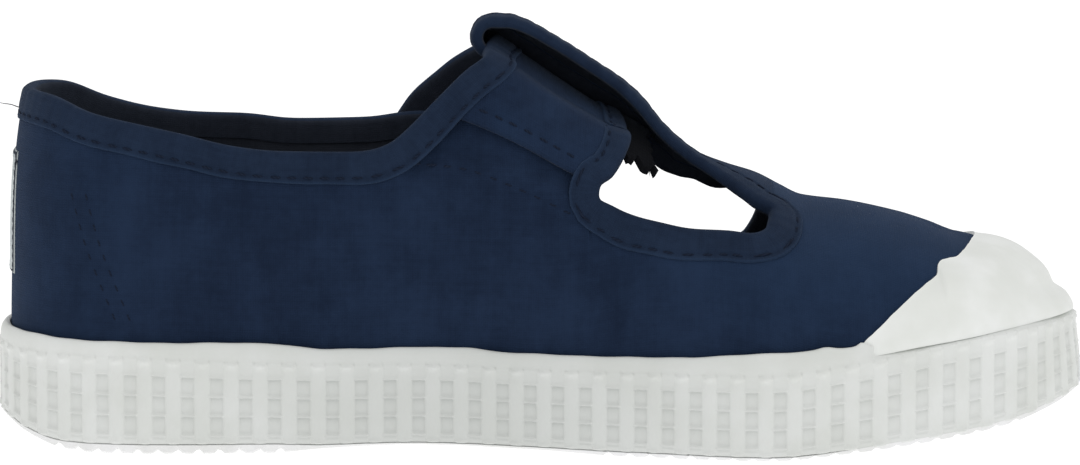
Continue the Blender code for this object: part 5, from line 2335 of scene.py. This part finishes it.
@dataclass
class ToeCap:
    """Rubber toe cap: a smooth skin over the sidewall's top, thinned out to its slanting rear edge."""

    last: Last
    outside: float = 1.7
    rear_outside: float = 0.32
    sunk: float = 0.6
    tuck: float = 1.0
    below: float = 1.1
    over_ribs: Pair = (0.6, 0.05)
    lip: float = 0.15
    lateral_ahead: float = 1.2
    flare: float = 0.15
    flare_heights: Pair = (22.6, 23.8)
    hollow: float = 0.8
    hollow_height: float = 24.7
    tip_stations: Pair = (80.0, 87.0)
    flap: Triple = (2.2, 28.8, 30.6)
    hollow_spread: float = 1.3
    rear_station: float = 50.6
    over_band: Pair = (51.0, 54.0)
    over_ribs_to: float = 72.0
    thinned: float = 8.0
    least: float = 0.45
    columns: int = 300
    rows: int = 40

    def loops(self) -> Array:
        """Loop distances of the cap's columns, from its medial rear corner round the toe.

        Returns:
            Loop distances, negative on the lateral side.
        """
        last = self.last
        x = np.linspace(self.rear_station, last.length / 2, 80)
        medial = last.loop_at(Side.MEDIAL, x)
        lateral = last.loop_at(Side.LATERAL, x[::-1]) - last.around
        places = np.concatenate([medial, lateral[1:]])[:, None]
        return along(places, np.linspace(0.0, 1.0, len(places)), np.linspace(0.0, 1.0, self.columns))[:, 0]

    def turns(self, u: Array, bottom: Array) -> tuple[Array, Array]:
        """Where the cap starts and ends on the ribs of the last.

        The rear edge is a line in station and height, a little ahead laterally, with a small flap of
        flash medially and a slight jag.

        Args:
            u: Loop distances.
            bottom: Heights of the lower edge.

        Returns:
            Turns of the lower and of the rear edge.
        """
        turns = np.linspace(0.0, 90.0, 361)
        grid_u, grid_turn = np.meshgrid(u, turns, indexing="ij")
        x, y, z = np.moveaxis(self.last.rib(grid_u, grid_turn), -1, 0)
        low = np.array([np.interp(height, row, turns) for height, row in zip(bottom, z)])
        amount, flap_low, flap_high = self.flap
        held = plateau(z, (flap_low, flap_low + 0.3), (flap_high, flap_high + 0.3))
        ahead = self.lateral_ahead * smoothstep(y, -4.0, 14.0) - amount * held * (y < 0)
        behind = (x < CAP_EDGE.at("x", z) + ahead) & (grid_turn > low[:, None])
        high = np.where(behind.any(1), turns[np.argmax(behind, 1)], 90.0)
        jag = 0.1 * np.sin(u * 1.1) * np.sin(u * 0.37 + 1.0) + 0.08 * np.sin(u * 2.9)
        high = soften(np.maximum(high + jag * (high < 89.0), low + 1.5)[:, None], 1.0)[:, 0]
        return low, high

    def stand_off(self, base: Array, bottom: Array, station: Array) -> Array:
        """Height of the outer face over the last.

        It grows from the rear edge forwards, falls where the cap goes down behind the sidewall, and has
        a rounded lip, a flare and a shallow hollow at the tip.

        Args:
            base: Points of the last.
            bottom: Heights of the lower edge.
            station: Stations of the columns.

        Returns:
            Heights, a row for each column.
        """
        covered = smoothstep(station, *self.over_band)[:, None]
        z = base[..., 2]
        gap = np.linalg.norm(base - base[:, -1:], axis=-1)
        outside = self.outside - self.rear_outside
        outside = self.rear_outside + outside * smoothstep(gap, 0.0, self.thinned) ** 0.6
        top = SOLE_SIDE.at("top", station)[:, None]
        tucked = self.tuck * (1.0 - smoothstep(z - top, -0.6, 0.9))
        rounded = self.lip * (1.0 - smoothstep(z - bottom[:, None], 0.0, 0.5))
        flared = self.flare * (1.0 - smoothstep(z, *self.flare_heights))
        hollow = self.hollow * bell(z, self.hollow_height, self.hollow_spread)
        tip = (flared - hollow) * smoothstep(station, *self.tip_stations)[:, None]
        return np.maximum(outside - tucked * (1.0 - covered) - rounded * covered + tip, self.least)

    def skin(self) -> Skin:
        """Outer and inner face between the lower edge, on the ribs or behind the sidewall, and the rear edge.

        Returns:
            The closed skin.
        """
        last = self.last
        u = self.loops()
        station = last.plan(u)[..., 0]
        covered = smoothstep(station, *self.over_band)
        rear, front = self.over_ribs
        ahead = smoothstep(station, self.over_band[1], self.over_ribs_to)
        on_ribs = SOLE_SIDE.at("ribs", station) + rear + (front - rear) * ahead
        bottom = (SOLE_SIDE.at("top", station) - self.below) * (1.0 - covered) + on_ribs * covered
        low, high = self.turns(u, bottom)
        share = np.linspace(0.0, 1.0, self.rows) ** 0.9
        turn = low[:, None] + (high - low)[:, None] * share
        loops = np.broadcast_to(u[:, None], turn.shape)
        base = last.rib(loops, turn)
        normal = last.normal(loops, np.maximum(turn, 2.0))
        short = np.maximum(base[:, :1, 2] - bottom[:, None], 0.0)
        base[..., 2] -= short * (1.0 - smoothstep(share, 0.0, 0.16))
        outer = base + normal * self.stand_off(base, bottom, station)[..., None]
        inner = base - normal * self.sunk
        return Skin.grid(outer).thickened(inner.reshape(-1, 3)).outward()

    def build(self) -> Pieces:
        """Make the toe cap.

        Returns:
            Its one piece.
        """
        piece = self.skin().build("toe_cap_rubber", CAP_RUBBER, 60.0)
        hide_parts("toe_cap")
        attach(piece, "root")
        return [piece]


@dataclass
class Bottom:
    """Outsole with its tread bars, and the insole on it."""

    last: Last
    edge_back: float = 0.25
    groove: float = 0.65
    pitch: float = 3.3
    bar: float = 1.7
    start: float = 1.4
    heel_tread: Pair = (-82.0, -40.0)
    fore_tread: Pair = (7.0, 80.0)
    body_inset: float = 4.0
    body: float = 6.0
    insole_thick: float = 2.8
    straight: float = 80.0
    flank: float = 0.6
    ledge_rise: Pair = (44.0, 58.0)
    across: int = 44

    def stations(self) -> Array:
        """Stations along the sole, even in the middle and following the arcs at both ends.

        Returns:
            Stations from heel to toe.
        """
        last = self.last
        middle = np.linspace(-self.straight, self.straight, 280)
        heel = last.plan(np.linspace(last.loop_at(Side.MEDIAL, -self.straight), last.heel, 22))[..., 0]
        toe = last.plan(np.linspace(last.loop_at(Side.MEDIAL, self.straight), 0.0, 22))[..., 0]
        return np.concatenate([heel[::-1], middle[1:-1], toe])

    def groove_at(self, x: Array) -> Array:
        """Depth of the tread: rounded grooves between bars, at heel and forefoot only.

        Args:
            x: Stations.

        Returns:
            Depths, held to a share of the outsole's edge.
        """
        depth = np.zeros_like(x)
        for first, stop in (self.heel_tread, self.fore_tread):
            phase = np.mod(x - first - self.start, self.pitch)
            groove = plateau(phase, (self.bar, self.bar + self.flank), (self.pitch - self.flank, self.pitch))
            depth = depth + groove * ((x > first + self.start) & (x < stop))
        return depth * np.minimum(self.groove, (SOLE_SIDE.at("edge", x) - 0.3) * 0.6)

    def deck(self, inset: Array, height: Array, x: Array) -> Array:
        """Points across the sole at each station, between the outline's two sides.

        Args:
            inset: How far each station's ends move inwards.
            height: Heights of the stations.
            x: Stations.

        Returns:
            Rows of points, close together near both sides.
        """
        share = 0.5 - 0.5 * np.cos(np.linspace(0.0, np.pi, self.across))
        medial = self.last.plan(self.last.loop_at(Side.MEDIAL, x), inset)
        lateral = self.last.plan(self.last.loop_at(Side.LATERAL, x), inset)
        xy = medial[:, None] * (1.0 - share[None, :, None]) + lateral[:, None] * share[None, :, None]
        return np.concatenate([xy, np.broadcast_to(height[:, None, None], xy.shape[:2] + (1,))], -1)

    def block(self, levels: list[tuple[float, Array, float]], x: Array) -> Skin:
        """Closed body between a bottom and a top deck.

        Args:
            levels: Inset, heights and tone of each level, from the bottom up.
            x: Stations.

        Returns:
            The closed skin.
        """
        decks = [self.deck(np.full(len(x), inset), height, x) for inset, height, _ in levels]
        skins = [Skin.grid(decks[0], None, levels[0][2]), Skin.grid(decks[-1], None, levels[-1][2])]
        skins[0].faces = skins[0].faces[:, ::-1]
        edges = [np.concatenate([deck[:, 0], deck[-1, 1:-1], deck[::-1, -1], deck[0, 1:-1][::-1]])
                 for deck in decks]
        ring = ringed(np.stack(edges))
        tone = np.array([level[2] for level in levels])[:, None]
        side = Skin.grid(ring, None, np.broadcast_to(tone, ring.shape[:2]))
        return Skin.joined(*skins, side).merged()[0].outward()

    def outsole(self, x: Array, ground: Array) -> Skin:
        """Plate with its tread, a ledge that the sidewall stands on and a raised body within.

        Args:
            x: Stations.
            ground: Heights of its underside.

        Returns:
            The closed skin.
        """
        back, groove = self.edge_back, self.groove_at(x)
        ledge = ground + SOLE_SIDE.at("edge", x) - 0.3 + 0.4 * smoothstep(x, *self.ledge_rise)
        # The tone darkens the ledge top and the body: painted shade in the gap under the sidewall and inside
        # the ring.
        return self.block([(back + 0.45, ground + groove, 0.0),
                           (back + 0.12, ground + np.minimum(groove + 0.3, ledge - ground), 0.0),
                           (back, ledge - 0.1, 0.0),
                           (back + 0.35, ledge + 0.06, 0.8),
                           (self.body_inset, ledge + 0.05, 0.4),
                           (self.body_inset, ground + self.body, 0.4)], x)

    def insole(self, x: Array, ground: Array) -> Skin:
        """Plate on the outsole's body, its upper edge rounded and its cloth laid flat over it.

        Args:
            x: Stations.
            ground: Heights of the outsole's underside.

        Returns:
            The closed skin.
        """
        low = ground + self.body + 0.3
        top = low + self.insole_thick
        inset = self.body_inset
        skin = self.block([(inset, low, 0.0), (inset, top - 0.7, 0.0), (inset + 0.25, top - 0.2, 0.0),
                           (inset + 0.8, top, 0.0)], x)
        skin.cloth = skin.points[:, :2].copy()
        return skin

    def build(self) -> Pieces:
        """Make the outsole and the insole.

        Returns:
            Both pieces.
        """
        x = self.stations()
        ground = SOLE_SIDE.at("ground", x)
        outsole = self.outsole(x, ground).build("outsole_tread", SOLE_RUBBER, 40.0)
        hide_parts("outsole")
        insole_piece = self.insole(x, ground).build("insole_cloth", FOOTBED, 40.0)
        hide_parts("insole")
        for piece in (outsole, insole_piece):
            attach(piece, "root")
        return [outsole, insole_piece]


@dataclass
class HeelLabel:
    """Small blank woven label on the back of the heel."""

    last: Last
    half_width: float = 9.2
    low: float = 27.2
    high: float = 47.2
    sunk: float = 0.3
    thick: float = 0.3
    loop_height: float = 0.16
    crumple_shade_heights: Pair = (40.0, 43.5)
    crumple_shade: float = 0.75
    columns: int = 60
    rows: int = 50

    def skin(self) -> Skin:
        """Closed wall over the heel, with loops of thread at its border, a painted shadow along the border
        and painted shade of crumples at its top.

        Returns:
            The closed skin.
        """
        last = self.last
        u = last.heel + np.linspace(-self.half_width, self.half_width, self.columns)
        u, z = np.meshgrid(u, np.linspace(self.low, self.high, self.rows), indexing="ij")
        turn = last.turn_at_height(u, z)
        base, normal = last.rib(u, turn), last.normal(u, turn)
        from_end = np.minimum(z - self.low, self.high - z)
        from_edge = np.minimum(self.half_width - np.abs(u - last.heel), from_end)
        loops = 0.5 + 0.5 * np.sin((u + z) * 4.2)
        lift = relief(base) + self.thick * smoothstep(from_edge, -0.2, 0.3)
        lift = lift + self.loop_height * bell(from_edge, 0.9, 0.5) * loops
        creased = np.sin(u * 1.7 + z * 0.9) + np.sin(z * 3.3 - u * 0.8 + 1.0) + np.sin(u * 4.1 + z * 2.3)
        crumple_shadow = self.crumple_shade * (smoothstep(z, *self.crumple_shade_heights) * smoothstep(creased, 0.4, 2.0))
        # Painted shadow along the border and painted shade between crumples at the top: the tone takes both
        # towards the dark lining colour.
        tone = -np.maximum(bell(from_edge, 0.35, 0.3), crumple_shadow)
        outer = Skin.grid(base + normal * lift[..., None], np.stack([u, z], -1), tone)
        return outer.thickened((base - normal * self.sunk).reshape(-1, 3)).outward()

    def build(self) -> Pieces:
        """Make the label.

        Returns:
            Its one piece.
        """
        piece = self.skin().build("heel_label_patch", LABEL_CLOTH)
        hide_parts("heel_label")
        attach(piece, "root")
        return [piece]


@dataclass
class Studio:
    """Pale floor, soft lights and the camera."""

    distance: float = 1000.0
    elevation: float = 6.5
    focal: float = 202.6
    aim: Triple = (0.0, 0.0, 33.1)
    sensor: float = 36.0
    floor_half: float = 6000.0
    world: float = 0.76
    key_place: Triple = (0.4, -0.6, 1.4)
    key_size: float = 0.9
    key_power: float = 3.4
    key_aim: Triple = (0.0, 0.0, 0.03)

    def floor(self) -> None:
        """Lay the floor at height zero."""
        ticks = np.linspace(-self.floor_half, self.floor_half, 9)
        x, y = np.meshgrid(ticks, ticks, indexing="ij")
        skin = Skin.grid(np.stack([x, y, np.zeros_like(x)], -1))
        skin.build("studio_floor", STUDIO_FLOOR)

    def key_light(self) -> None:
        """One square soft light that looks at the shoe."""
        data = bpy.data.lights.new("key", "AREA")
        data.size = self.key_size
        data.energy = self.key_power
        light = bpy.data.objects.new("key", data)
        light.location = self.key_place
        light.rotation_euler = self.look(np.array(self.key_place), np.array(self.key_aim))
        bpy.context.scene.collection.objects.link(light)

    def look(self, place: Array, target: Array) -> Triple:
        """Turn that points an object's -Z from a place at a target.

        Args:
            place: Place of the object.
            target: What it looks at.

        Returns:
            Its turns about x, y and z.
        """
        way = target - place
        flat = math.hypot(float(way[0]), float(way[1]))
        tilt = math.atan2(flat, -float(way[2]))
        return (tilt, 0.0, math.atan2(-float(way[0]), float(way[1])))

    def camera(self) -> None:
        """Camera at the medial side, a little above the shoe."""
        data = bpy.data.cameras.new("camera")
        data.sensor_width = self.sensor
        data.lens = self.focal
        data.clip_end = 100.0
        camera = bpy.data.objects.new("camera", data)
        turn = math.radians(self.elevation)
        offset = np.array([0.0, -math.cos(turn), math.sin(turn)]) * self.distance
        place = (np.array(self.aim) + offset) * MM
        camera.location = tuple(place)
        camera.rotation_euler = self.look(place, np.array(self.aim) * MM)
        bpy.context.scene.collection.objects.link(camera)
        bpy.context.scene.camera = camera

    def build(self) -> None:
        """Set up floor, world, lights and camera."""
        scene = bpy.context.scene
        scene.view_settings.view_transform = "Standard"
        world = bpy.data.worlds.new("studio")
        world.use_nodes = True
        world.node_tree.nodes["Background"].inputs["Color"].default_value = (1.0, 1.0, 1.0, 1.0)
        world.node_tree.nodes["Background"].inputs["Strength"].default_value = self.world
        scene.world = world
        self.floor()
        self.key_light()
        self.camera()


def main() -> None:
    """Build every sub-assembly in order and report its pieces."""
    logging.basicConfig(level=logging.INFO, format="%(name)s: %(message)s")
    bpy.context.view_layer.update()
    foxing_low, foxing_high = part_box("foxing")
    length = float(foxing_high[0] - foxing_low[0]) / MM
    last = Last(length, MIDDLE_OFFSET)
    makers = (Upper(last), Strap(last), Sidewall(last), ToeCap(last), Bottom(last), HeelLabel(last))
    for maker in makers:
        for piece in maker.build():
            triangles = sum(len(face.vertices) - 2 for face in piece.data.polygons)
            LOG.info("%s %d triangles", piece.name, triangles)
    Studio().build()
    bpy.context.view_layer.update()


if __name__ == "__main__":
    main()
